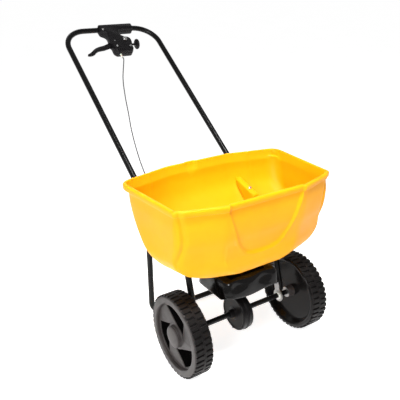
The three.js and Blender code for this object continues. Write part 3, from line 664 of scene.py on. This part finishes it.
def skin(level, grow, z=None):
    """One row of the tub: the outline at a level with its relief, grown outwards, at height z if given."""
    height = level[0]
    flat = tub_outline(*level[1:])
    ahead, behind = np.roll(flat, -1, axis=0), np.roll(flat, 1, axis=0)
    along = ahead - behind
    normal = np.stack([along[:, 1], -along[:, 0]], axis=1)
    normal /= np.linalg.norm(normal, axis=1)[:, None]
    stand_out = relief(flat[:, 0], np.full(len(flat), float(height)), normal[:, 1])
    fade = ease((height - 320) / 40)
    placed = flat + normal * (grow + stand_out * fade)[:, None]
    return np.column_stack([placed, np.full(len(flat), height if z is None else z)])


def make_hopper():
    levels = through_levels(6)
    top = HOPPER_LEVELS[-1]
    band_foot = RIM_Z - RIM_BAND
    wall = [skin(level, 0) for level in levels if level[0] < band_foot - 2]
    band = [
        (-0.2, band_foot - 0.8),
        (0.5, band_foot),
        (RIM_PROUD - 2.6, band_foot),
        (RIM_PROUD - 1.4, band_foot + 0.7),
        (RIM_PROUD - 0.8, band_foot + 2.4),
        (RIM_PROUD - 0.4, band_foot + 6),
        (RIM_PROUD - 0.1, band_foot + 8),
        (RIM_PROUD, RIM_Z - 6.5),
        (RIM_PROUD - 0.8, RIM_Z - 3.6),
        (RIM_PROUD - 2.6, RIM_Z - 1.4),
        (RIM_PROUD - 5.2, RIM_Z),
        (-0.6, RIM_Z),
        (-2.6, RIM_Z - 0.9),
        (-HOPPER_WALL, RIM_Z - 2.8),
        (-HOPPER_WALL, band_foot - 2),
    ]
    rim_level = (band_foot, *top[1:4], RIM_CORNER, top[5])
    lip = [skin(rim_level, grow, z) for grow, z in band]
    # The inside follows the outside, a wall's thickness in from it along its own outward direction.
    grid = np.array(wall)
    down_rows = np.gradient(grid, axis=0)
    along = np.roll(grid, -1, axis=1) - np.roll(grid, 1, axis=1)
    normals = np.cross(along, down_rows)
    normals /= np.linalg.norm(normals, axis=2)[:, :, None] + 1e-9
    centre = grid.mean(axis=1, keepdims=True)
    if ((grid[-1] - centre[-1]) * normals[-1]).sum() < 0:
        normals = -normals
    inside = grid - normals * HOPPER_WALL
    inside[0, :, 2] = grid[0, :, 2] + HOPPER_WALL
    inside[0, :, :2] = grid[0, :, :2]
    # The round hole in the floor, whose points start at the same side as the outline's.
    first = math.atan2(grid[0, 0, 1] - TUB_HOLE_Y, grid[0, 0, 0])
    ring = np.arange(grid.shape[1]) / grid.shape[1] * 2 * math.pi + first
    hole = np.column_stack(
        [TUB_HOLE_RADIUS * np.cos(ring), TUB_HOLE_Y + TUB_HOLE_RADIUS * np.sin(ring)]
    )

    def hole_row(z):
        return np.column_stack([hole, np.full(len(hole), z)])

    under, above = hole_row(TUB_FLOOR_Z), hole_row(TUB_FLOOR_Z + HOPPER_WALL)
    rows = [under] + wall + lip + list(inside[::-1]) + [above, under]
    rows = [[tuple(p) for p in row] for row in rows]
    piece("hopper_tub", *loft(rows), "hopper_plastic", replaced=["hopper"], smooth=60)


make_hopper()

RIB_X, RIB_HALF = 140, 11
RIB_OUTLINE = [(217, 470), (118, 441), (121, 371), (141.5, 387.5), (178, 419), (206, 450)]
rib = prism(RIB_OUTLINE, RIB_X - RIB_HALF, RIB_X + RIB_HALF, lambda y, z, x: (x, y, z))
piece("hopper_rib", *rib, "hopper_plastic", bevel=4.5, segments=5)


# ------------------------------------------------------------------ wheels
POCKET_STEPS = 16


def pocket_outline(turn_by):
    """One swirling pocket, in the wheel's plane, as (Y, Z)."""
    corners = [
        ((40, -12), (62, -50), (92, -63)),
        ((92, -63), (108, -31.5), (92, 0)),
        ((92, 0), (66, 8), (40, 38)),
        ((40, 38), (44, 13), (40, -12)),
    ]

    def on_wheel(radius, degrees):
        a = math.radians(degrees) + turn_by
        return Vector((radius * math.cos(a), radius * math.sin(a)))

    points = []
    for start, bend, end in corners:
        a, b, c = on_wheel(*start), on_wheel(*bend), on_wheel(*end)
        points.extend(quadratic(a, b, c, POCKET_STEPS)[:-1])
    return [tuple(p) for p in points]


def plate_with_holes(name, outer, holes, depth, rounding):
    """Points and faces of a flat plate with holes, whose edges are rounded. Its middle lies on level 0."""
    data = bpy.data.curves.new(name, "CURVE")
    data.dimensions = "2D"
    data.fill_mode = "BOTH"
    data.extrude = (depth / 2 - rounding) / 1000
    data.bevel_depth = rounding / 1000
    data.bevel_resolution = 2
    data.offset = -rounding / 1000
    for line in [outer, *holes]:
        spline = data.splines.new("POLY")
        spline.points.add(len(line) - 1)
        for target, (u, v) in zip(spline.points, line):
            target.co = (u / 1000, v / 1000, 0, 1)
        spline.use_cyclic_u = True
    maker = bpy.data.objects.new(name, data)
    bpy.context.scene.collection.objects.link(maker)
    bpy.context.view_layer.update()
    shape = maker.evaluated_get(bpy.context.evaluated_depsgraph_get()).to_mesh()
    points = [tuple(1000 * c for c in vertex.co) for vertex in shape.vertices]
    faces = [tuple(polygon.vertices) for polygon in shape.polygons]
    bpy.data.objects.remove(maker)
    bpy.data.curves.remove(data)
    return points, faces


def circle(radius, steps=96):
    angles = [2 * math.pi * k / steps for k in range(steps)]
    return [(radius * math.cos(a), radius * math.sin(a)) for a in angles]


WHEEL_INNER, WHEEL_OUTER = 185, 245
HUB_RADIUS = 33
DISH_RADIUS = WHEEL_RADIUS - 29
FACE_DEPTH = 12.5  # how far the face plate's middle lies behind the wheel's outer side
FACE_THICKNESS = 5
POCKETS = 3
POCKET_DEPTH = 26
LUGS = 44  # on each side of the tread
LUG_WIDTH, LUG_SLANT = 11.4, 0.007
TREAD_DEPTH = 5
ROUND_STEPS = 144  # round the wheel's rim


def lug(angle, width, x0, x1, slant):
    """One lug of the tread, between two places along X."""
    half = width / 2 / WHEEL_RADIUS
    low, high = WHEEL_RADIUS - TREAD_DEPTH - 1, WHEEL_RADIUS
    points = []
    for radius, grow, ends in ((low, 1.12, 0), (high, 0.94, 0.8)):
        for x, shift in ((x0 + ends, -slant), (x1 - ends, slant)):
            for way in (-1, 1):
                a = angle + shift + way * half * grow
                points.append((x, radius * math.cos(a), WHEEL_RADIUS + radius * math.sin(a)))
    faces = [(4, 5, 7, 6), (0, 1, 5, 4), (1, 3, 7, 5), (3, 2, 6, 7), (2, 0, 4, 6), (0, 2, 3, 1)]
    return points, faces


def make_wheel(side_name, side):
    radius = WHEEL_RADIUS
    inner, outer = WHEEL_INNER, WHEEL_OUTER
    body = "drive_axle" if side < 0 else "free_wheel"
    base = radius - TREAD_DEPTH
    centre = (0, 0, radius)
    mirror = lambda x, y, z: (side * x, y, z)
    back = rounded(
        [
            (radius - 30, inner + 21),
            (radius - 27.5, inner + 19),
            (radius - 19, inner + 3),
            (radius - 14, inner),
            (radius - 8, inner),
            (base, inner + 5),
        ],
        2.0,
    )
    rim = rounded(
        [
            (base, inner + 5),
            (base, outer - 4),
            (radius - 7, outer),
            (radius - 24, outer),
            (radius - 26, outer - 2),
            (radius - 28, outer - 13),
        ],
        2.0,
    )
    ring = moved(lathe(rim, "x", centre, ROUND_STEPS), mirror)
    piece(f"wheel_ring_{side_name}", *ring, "wheel_plastic", body=body, smooth=50)
    # The face plate, with three swirling pockets, and the plain dish behind it; the dish, the pocket walls
    # and the wheel's inner side get a far darker copy of the wheel plastic as painted shade in the recesses.
    pockets = [pocket_outline(k * 2 * math.pi / POCKETS) for k in range(POCKETS)]
    plate = plate_with_holes("plate", circle(radius - 27.5), pockets, FACE_THICKNESS, 1.2)
    face_x = outer - FACE_DEPTH
    plate = moved(plate, lambda u, v, w: (side * (face_x + w), u, radius + v))
    piece(f"wheel_face_{side_name}", *plate, "wheel_plastic", body=body, smooth=40)
    walls = [lathe(back, "x", centre, ROUND_STEPS)]
    for line in pockets:
        rows = [[(face_x + level, u, radius + v) for u, v in line] for level in (0, -POCKET_DEPTH)]
        walls.append(loft(rows))
    walls.append(lathe([(17, inner + 20.5), (DISH_RADIUS, inner + 20.5)], "x", centre, 96))
    walls.append(lathe([(17, inner + 22), (DISH_RADIUS, inner + 22)], "x", centre, 96))
    dish = moved(merged(*walls), mirror)
    # The dish, pocket walls and inner side carry the painted shade, a darker copy of the wheel plastic.
    piece(f"wheel_dish_{side_name}", *dish, "wheel_plastic", body=body, look=DISH_PAINTED_SHADE, smooth=40)
    hub = rounded(
        [
            (9, inner + 0.2),
            (17.5, inner + 0.2),
            (19.5, inner + 21),
            (HUB_RADIUS + 3, inner + 21.5),
            (HUB_RADIUS + 3, outer - 11),
            (HUB_RADIUS + 0.5, outer - 9),
            (HUB_RADIUS, outer - 3),
            (9, outer - 3),
            (9, inner + 0.2),
        ],
        1.4,
        3,
    )
    shape = lathe(hub, "x", centre, 64)
    piece(f"wheel_hub_{side_name}", *moved(shape, mirror), "wheel_plastic", body=body, smooth=45, bevel=0.6)
    # The tread: a rib round the middle, and a row of lugs on each side of it, half a pitch apart.
    pitch = 2 * math.pi / LUGS
    middle = (inner + outer) / 2
    tread = [
        lathe(
            rounded(
                [
                    (base - 1, middle - 4.2),
                    (radius - 0.2, middle - 3),
                    (radius - 0.2, middle + 3),
                    (base - 1, middle + 4.2),
                ],
                0.8,
            ),
            "x",
            centre,
            ROUND_STEPS,
        )
    ]
    for k in range(LUGS):
        tread.append(lug(k * pitch, LUG_WIDTH, middle + 2.5, outer - 1.8, LUG_SLANT))
        tread.append(lug((k + 0.5) * pitch, LUG_WIDTH, inner + 3.2, middle - 2.5, LUG_SLANT))
    tread.append(lathe([(base + 0.15, inner + 6), (base + 0.15, outer - 6)], "x", centre, ROUND_STEPS))
    piece(
        f"wheel_tread_{side_name}",
        *moved(merged(*tread), mirror),
        "wheel_plastic",
        body=body,
        look=TREAD_BLACK,
        smooth=30,
        replaced=[f"wheel_{side_name}"],
        bevel=0.7,
        segments=2,
    )
    cap = rounded(
        [
            (HUB_RADIUS - 1.4, outer - 2.7),
            (HUB_RADIUS - 0.2, outer - 2.2),
            (HUB_RADIUS - 0.2, outer + 0.8),
            (HUB_RADIUS - 4, outer + 3.2),
            (16, outer + 4.8),
            (6, outer + 5.3),
            (0.3, outer + 5.4),
        ],
        2.2,
    )
    piece(
        f"hub_dome_{side_name}",
        *moved(lathe(cap, "x", centre, 72, False, True), mirror),
        "wheel_plastic",
        body=body,
        replaced=[f"hub_cap_{side_name}"],
        smooth=45,
    )


for side_name, side in SIDES:
    make_wheel(side_name, side)

# ------------------------------------------------------------------ impeller shroud
SHROUD_HALF, SHROUD_FRONT, SHROUD_BACK, SHROUD_CORNER, SHROUD_MOUTH = 107, -68, 98, 34, 40
# The bowl's side, as (height, distance inside the outline), from the shoulder down.
SHROUD_SIDE = [(281, 34), (280.6, 26), (279.2, 19), (276.4, 13), (272, 9), (266, 6.2), (258, 4.4)]
SHROUD_SIDE += [(250, 3.2), (242, 2.2), (235, 1.2), (229, 0.4), (225, 0.1), (223.2, 0.1)]


def shroud_outline():
    """The shroud's outline, anticlockwise, with its outward directions."""
    half, front, back, corner = SHROUD_HALF, SHROUD_FRONT, SHROUD_BACK, SHROUD_CORNER
    arcs = [
        (half - corner, front + corner, -90),
        (half - corner, back - corner, 0),
        (corner - half, back - corner, 90),
        (corner - half, front + corner, 180),
    ]
    points = []
    for i, (cx, cy, start) in enumerate(arcs):
        ring = []
        for k in range(19):
            a = math.radians(start + 5 * k)
            outward = Vector((math.cos(a), math.sin(a)))
            ring.append((Vector((cx, cy)) + outward * corner, outward))
        points.extend(ring[:-1])
        nx, ny, following = arcs[(i + 1) % 4]
        a = math.radians(following)
        arrive = Vector((nx, ny)) + Vector((math.cos(a), math.sin(a))) * corner
        leave, outward = ring[-1]
        points.extend((leave.lerp(arrive, k / 30), outward) for k in range(30))
    return points


def shroud_row(z, inset):
    """One row of the shroud. Its front is wavy: folds run down from the shoulder."""
    row = []
    shoulder = math.exp(-(((z - 264) / 16) ** 2))
    for point, outward in shroud_outline():
        ahead = ease((-outward.y - 0.1) / 0.6)
        side = ease((abs(outward.x) - 0.4) / 0.5)
        fold = ahead * (4.0 * math.cos((point.x + 12) / 15.5) - 4.0) * shoulder
        fold += side * (2.0 * math.cos((point.y - 10) / 17) - 2.0) * shoulder
        hem = ahead * 3.5 * (1 - math.cos((point.x + 20) / 24)) * ease((240 - z) / 16)
        sag = ahead * -2.6 * (1 - math.cos((point.x - 40) / 19)) * ease((z - 246) / 16) * ease((282 - z) / 6)
        spot = point + outward * (fold - inset)
        row.append((spot.x, spot.y, z + hem + sag))
    return row


def make_shroud():
    outside = [shroud_row(z, inset) for z, inset in SHROUD_SIDE]
    hem = [shroud_row(222.3, 0.7), shroud_row(222.3, 2.3), shroud_row(223.2, 2.9)]
    inside = [shroud_row(z - 2.8, inset + 3) for z, inset in reversed(SHROUD_SIDE[:-2])]
    mouth = []
    for z in (278.2, 281):
        ring = []
        for point, _ in shroud_outline():
            spoke = (point - Vector((0, TUB_HOLE_Y))).normalized() * SHROUD_MOUTH
            ring.append((spoke.x, TUB_HOLE_Y + spoke.y, z))
        mouth.append(ring)
    rows = mouth + outside + hem + inside + mouth[:1]
    piece("shroud_bowl", *loft(rows), "gloss_black_plastic", replaced=["impeller_shroud"], smooth=50)


make_shroud()

# ------------------------------------------------------------------ gearbox
GEARBOX_RADIUS, LEFT_X, SPLIT_X, RIGHT_X = 58, -30, -11.5, 7
GUSSET_HALF = 1.6
SCREWS, SCREW_CIRCLE = 6, 52


def radial_screws(x, radius, count, facing):
    """Small pan-head screws round a circle, facing along X."""
    shapes = []
    for k in range(count):
        a = 2 * math.pi * (k + 0.5) / count
        spot = (0, radius * math.cos(a), WHEEL_RADIUS + radius * math.sin(a))
        profile = [(3.6, x), (3.6, x + facing * 0.9), (2.9, x + facing * 1.7), (0.3, x + facing * 1.9)]
        shapes.append(lathe(profile, "x", spot, 20, False, True))
    return merged(*shapes)


def make_gearbox():
    centre = (0, 0, WHEEL_RADIUS)
    radius = GEARBOX_RADIUS
    left = rounded(
        [
            (9.4, LEFT_X - 15.8),
            (13, LEFT_X - 15.8),
            (13.4, LEFT_X - 0.6),
            (20, LEFT_X + 0.2),
            (21, LEFT_X + 1.6),
            (47, LEFT_X + 1.6),
            (48.5, LEFT_X + 0.2),
            (radius - 4, LEFT_X + 0.2),
            (radius - 2, LEFT_X + 3),
            (radius - 2, SPLIT_X - 4),
            (radius, SPLIT_X - 3.2),
            (radius, SPLIT_X - 0.4),
            (radius - 4, SPLIT_X - 0.4),
        ],
        1.6,
    )
    right_side = rounded(
        [
            (9.4, RIGHT_X + 13.8),
            (13, RIGHT_X + 13.8),
            (13.4, RIGHT_X + 0.4),
            (20, RIGHT_X - 0.1),
            (21, RIGHT_X - 1.4),
            (47, RIGHT_X - 1.4),
            (48.5, RIGHT_X - 0.1),
            (radius - 4, RIGHT_X - 0.1),
            (radius - 2, RIGHT_X - 3),
            (radius - 2, SPLIT_X + 4),
            (radius, SPLIT_X + 3.2),
            (radius, SPLIT_X + 0.2),
            (radius - 4, SPLIT_X + 0.2),
        ],
        1.6,
    )

    cover = lathe(left, "x", centre, 96)
    piece("gearbox_left", *cover, "black_plastic", replaced=["gearbox_cover"], smooth=40, bevel=0.5)
    tower = rounded([(15.5, 160), (15, 178), (14, 190), (14, 204.6), (12.5, 205.9), (5.6, 205.9)], 1.2)
    tower = lathe(tower, "z", (0, 0, 0), 48)
    gussets = []
    for way in (-1, 1):
        line = [(way * 11, 158), (way * 32, 158), (way * 13, 196), (way * 11, 196)]
        gussets.append(prism(line, -GUSSET_HALF, GUSSET_HALF, lambda y, z, x: (x, y, z)))
    housing = merged(lathe(right_side, "x", centre, 96), tower, *gussets)
    piece("gearbox_right", *housing, "black_plastic", replaced=["gearbox_housing"], smooth=40, bevel=0.5)
    screws = radial_screws(LEFT_X + 0.2, SCREW_CIRCLE, SCREWS, -1)
    piece("gearbox_screws", *screws, "zinc_steel", look=STEEL_BLACK, smooth=40)


make_gearbox()


# ------------------------------------------------------------------ impeller
IMPELLER_PROFILE = [  # radius, height
    (5.4, 228), (12, 228), (13, 231.2), (59, 231), (60, 232), (60, 234.6), (58.6, 234.6), (57.6, 233.4),
    (14, 233.6), (12, 240), (11.4, 261), (5.4, 262),
]  # fmt: skip
FINS, FIN_HALF = 4, 1.3
FIN_OUTLINE = [(9, 233.2), (58, 233.2), (58, 246), (50, 250.5), (12, 251.8), (9, 251.8)]


def make_impeller():
    shapes = [lathe(rounded(IMPELLER_PROFILE, 1.0), "z", (0, 0, 0), 96)]
    for k in range(FINS):
        a = 2 * math.pi * k / FINS
        c, s = math.cos(a), math.sin(a)
        fin = prism(FIN_OUTLINE, -FIN_HALF, FIN_HALF, lambda r, z, w: (r * c - w * s, r * s + w * c, z))
        shapes.append(fin)
    disc = merged(*shapes)
    piece("impeller_disc", *disc, "black_plastic", body="impeller", replaced=["impeller"], bevel=0.5)


make_impeller()

# ------------------------------------------------------------------ control unit
def on_control(x, y, z):
    """From the control unit's own plane to the model: x along the bar, y up the slope, z square to it."""
    c, s = math.cos(SLOPE), math.sin(SLOPE)
    return (x, BAR_Y + y * c - z * s, BAR_Z + y * s + z * c)


CONTROL_OUTLINE = [
    (-38, 13), (93, 13), (97, 8), (97, -12), (93, -15), (36, -15), (27, -26), (27, -42), (36, -53),
    (56, -60), (62, -70), (60, -90), (54, -98), (54, -120), (46, -131), (-14, -131), (-24, -118),
    (-22, -92), (-27, -84), (-27, -70), (-20, -48), (-22, -32), (-40, -20), (-42, 8),
]  # fmt: skip
HOUSING_DEPTH = 17


def closed_smooth(line, radius, steps=5):
    """A closed outline with rounded corners."""
    out = []
    count = len(line)
    for i in range(count):
        before, corner, after = Vector(line[i - 1]), Vector(line[i]), Vector(line[(i + 1) % count])
        into, away = before - corner, after - corner
        reach = min(radius, into.length * 0.46, away.length * 0.46)
        start, end = corner + into.normalized() * reach, corner + away.normalized() * reach
        out.extend(tuple(point) for point in quadratic(start, corner, end, steps))
    return out


def make_control():
    line = closed_smooth(CONTROL_OUTLINE, 7)
    for name, low, high in (("top", 0.2, HOUSING_DEPTH), ("base", -HOUSING_DEPTH, -0.2)):
        outer_level, inner_level = (high, low) if name == "top" else (low, high)
        way = 1 if name == "top" else -1
        levels = [
            (inner_level, 0.8),
            (inner_level + way * 0.5, 0.0),
            (inner_level + way * 3.0, 0.0),
            (inner_level + way * 3.5, 0.5),
            (outer_level - way * 5.5, 0.7),
            (outer_level - way * 3.2, 1.3),
            (outer_level - way * 1.4, 2.6),
            (outer_level - way * 0.4, 4.4),
            (outer_level, 6.6),
        ]
        rows = [[on_control(u, v, level) for u, v in inset_line(line, amount)] for level, amount in levels]
        points, faces = loft(rows, True, True, True)
        piece(
            f"control_shell_{name}",
            points,
            faces,
            "control_plastic",
            replaced=[f"control_housing_{name}"],
            smooth=40,
        )


def inset_line(line, amount):
    """A closed outline moved inwards."""
    count = len(line)
    area = sum(line[i - 1][0] * line[i][1] - line[i][0] * line[i - 1][1] for i in range(count))
    way = 1 if area > 0 else -1
    out = []
    for i in range(count):
        before, here, after = Vector(line[i - 1]), Vector(line[i]), Vector(line[(i + 1) % count])
        along = (after - before).normalized()
        out.append(tuple(here + Vector((-along.y, along.x)) * amount * way))
    return out


make_control()

TRIGGER_PIVOT = (-8, -78)


def bezier(a, b, c, d):
    a, b, c, d = (Vector(p) for p in (a, b, c, d))
    return [
        tuple(a * (1 - t) ** 3 + b * (3 * t * (1 - t) ** 2) + c * (3 * t * t * (1 - t)) + d * t**3)
        for t in shares(14)[:-1]
    ]


def make_trigger():
    px, py = TRIGGER_PIVOT

    def curve(a, b, c):
        a, b, c = (Vector(p) for p in (a, b, c))
        return [tuple(point) for point in quadratic(a, b, c, 8)[:-1]]

    line = []
    for k in range(17):
        a = math.pi * (-0.4 + 1.02 * k / 16)
        line.append((11 * math.cos(a), 11 * math.sin(a)))
    line += bezier(line[-1], (-22, 4), (-34, -4), (-50, -8))
    line += bezier((-50, -8), (-74, -12), (-84, -18), (-98, -30))
    line += curve((-98, -30), (-110, -40), (-119, -43))
    line += curve((-119, -43), (-123, -49), (-114, -50))
    line += bezier((-114, -50), (-102, -51), (-94, -47), (-84, -37))
    line += bezier((-84, -37), (-70, -26), (-56, -31), (-40, -25))
    line += curve((-40, -25), (-20, -19), (3, -10.5))
    line = [(px + u, py + v) for u, v in line]
    levels = [(-4.8, 2.6), (-4.3, 1.2), (-3.2, 0.3), (-1.5, 0), (1.5, 0), (3.2, 0.3), (4.3, 1.2), (4.8, 2.6)]
    rows = [[on_control(u, v, level) for u, v in inset_line(line, amount)] for level, amount in levels]
    points, faces = loft(rows, True, True, True)
    piece("trigger", points, faces, "control_plastic", body="trigger", replaced=["trigger_lever"], smooth=40)


make_trigger()

KNOB_Y, KNOB_RADIUS = -87, 19
GRIPS, GRIP_DEPTH = 16, 0.055


def make_knob():
    rim = KNOB_RADIUS
    profile = [(4, 22), (4, 75), (8, 76.2), (rim - 3, 78), (rim, 80.5), (rim, 85), (rim - 2, 87)]
    profile = rounded(profile + [(10, 86.6), (8, 89), (0.3, 89.4)], 1.4)
    rows = []
    for radius, along in profile:
        row = []
        for k in range(96):
            a = 2 * math.pi * k / 96
            grip = 1
            if radius > rim - 2.5:
                grip -= GRIP_DEPTH * max(0.0, math.cos(GRIPS * a)) ** 2
            row.append(on_control(along, KNOB_Y + radius * grip * math.cos(a), radius * grip * math.sin(a)))
        rows.append(row)
    points, faces = loft(rows, True, False, True)
    piece("knob", points, faces, "control_plastic", body="knob", replaced=["adjuster_knob"], smooth=40)


make_knob()

CAP_NUT = (36, -72)
CONTROL_SCREWS = [(-9, -106), (-30, -15.5), (44, -110)]


def make_control_metal():
    top = HOUSING_DEPTH + 0.3
    x, y = CAP_NUT
    dome = [(4, 2), (4, top), (9, top), (9, top + 1.2), (8.4, top + 3.2), (5.6, top + 6), (0.3, top + 7.3)]
    dome = rounded(dome, 1.2)
    shape = moved(lathe(dome, "z", (x, y, 0), 48, False, True), on_control)
    piece("clamp_dome", *shape, "zinc_steel", replaced=["clamp_cap_nut"], smooth=45)
    head = [(2, 0), (2, top), (4.5, top), (4.3, top + 1.2), (2.6, top + 2.5), (0.3, top + 2.8)]
    head = rounded(head, 0.7)
    for i, (sx, sy) in enumerate(CONTROL_SCREWS):
        shape = moved(lathe(head, "z", (sx, sy, 0), 28, False, True), on_control)
        replaced = [f"control_screw_{i + 1}"]
        piece(f"control_screw_head_{i + 1}", *shape, "zinc_steel", replaced=replaced, smooth=45)
    ferrule = [(2, -122), (2, -131.4), (3.6, -131.6), (3.6, -135), (3.1, -136), (3.1, -146)]
    ferrule = rounded(ferrule + [(2.4, -149.8), (0.3, -150)], 0.7)
    shape = moved(lathe(ferrule, "y", (-3, 0, 0), 28, False, True), on_control)
    piece("cable_sleeve", *shape, "nylon", replaced=["cable_ferrule_upper"], smooth=45)


make_control_metal()

# ------------------------------------------------------------------ cable
RAIL_BACK_Y = 125
CABLE_RADIUS = 1.8
cable_route = [
    on_control(-3, -150.5, 0),
    on_control(-4, -163, 0),
    (-38, 672, 742),
    (-62, 612, 692),
    (-80, 556, 646),
    (-97, 505, 603),
    (-112, 450, 562),
    (-126, 390, 523),
    (-134, 335, 484),
    (-132, 300, 437),
    (-112, 275, 380),
    (-76, 252, 329),
    (-36, 222, 298),
    (-8, 190, 289.5),
    (0, 172, 289),
    (0, RAIL_BACK_Y + 32.4, 289),
]
cable = tube(smooth_path(cable_route, 10), CABLE_RADIUS, 12)
piece("cable", *cable, "cable_jacket", replaced=["control_cable"], smooth=60)

# ------------------------------------------------------------------ CAD nodes that stay
slots = {part["node"]: part["material_slot"] for part in frame["record"]["subparts"]}
for name, node in nodes.items():
    node.data.materials.clear()
    node.data.materials.append(LOOKS[slots[name]])
    if node.hide_render:
        continue
    rounding = node.modifiers.new("rounding", "BEVEL")
    rounding.width = 0.0004
    rounding.segments = 2
    rounding.limit_method = "ANGLE"
    rounding.angle_limit = math.radians(40)

# ------------------------------------------------------------------ floor, world and lights
FLOOR_HALF = 30.0
floor_mesh = bpy.data.meshes.new("floor")
floor_corners = [(FLOOR_HALF * x, FLOOR_HALF * y, 0) for x, y in ((-1, -1), (1, -1), (1, 1), (-1, 1))]
floor_mesh.from_pydata(floor_corners, [], [(0, 1, 2, 3)])
floor = bpy.data.objects.new("floor", floor_mesh)
floor.location.z = -0.0004
bpy.context.scene.collection.objects.link(floor)
floor_look, floor_tree, floor_shader = new_material("pale_floor")
floor_tones = [(0.3, (0.86, 0.86, 0.86)), (0.7, (0.89, 0.89, 0.89))]
floor_color = ramp(floor_tree, noise(floor_tree, 2.0), floor_tones)
floor_tree.links.new(floor_color, floor_shader.inputs["Base Color"])
floor_shader.inputs["Roughness"].default_value = 0.9
floor_shader.inputs["Specular IOR Level"].default_value = 0.0
floor_shader.inputs["Emission Color"].default_value = (1, 1, 1, 1)
floor_shader.inputs["Emission Strength"].default_value = 0.68
floor_mesh.materials.append(floor_look)

world = bpy.data.worlds.new("studio")
world.use_nodes = True
world.node_tree.nodes["Background"].inputs["Color"].default_value = (1, 1, 1, 1)
world.node_tree.nodes["Background"].inputs["Strength"].default_value = 0.36
bpy.context.scene.world = world


def softbox(name, place, target, size, power, spread=180):
    """A rectangular light. place and target are in metres, spread in degrees."""
    data = bpy.data.lights.new(name, "AREA")
    data.spread = math.radians(spread)
    data.shape = "RECTANGLE"
    data.size, data.size_y = size
    data.energy = power
    light = bpy.data.objects.new(name, data)
    bpy.context.scene.collection.objects.link(light)
    light.location = place
    light.rotation_euler = (Vector(target) - Vector(place)).to_track_quat("-Z", "Y").to_euler()


softbox("key", (-2.3, -1.7, 1.6), (0, -0.3, 0.4), (1.1, 1.1), 56)
softbox("top", (-0.2, -0.8, 2.6), (0, -0.3, 0.5), (0.7, 0.7), 5.0, 40)
softbox("back", (0.6, 2.2, 2.2), (0, 0, 0.5), (2.0, 1.2), 14)

bpy.context.scene.view_settings.view_transform = "Standard"
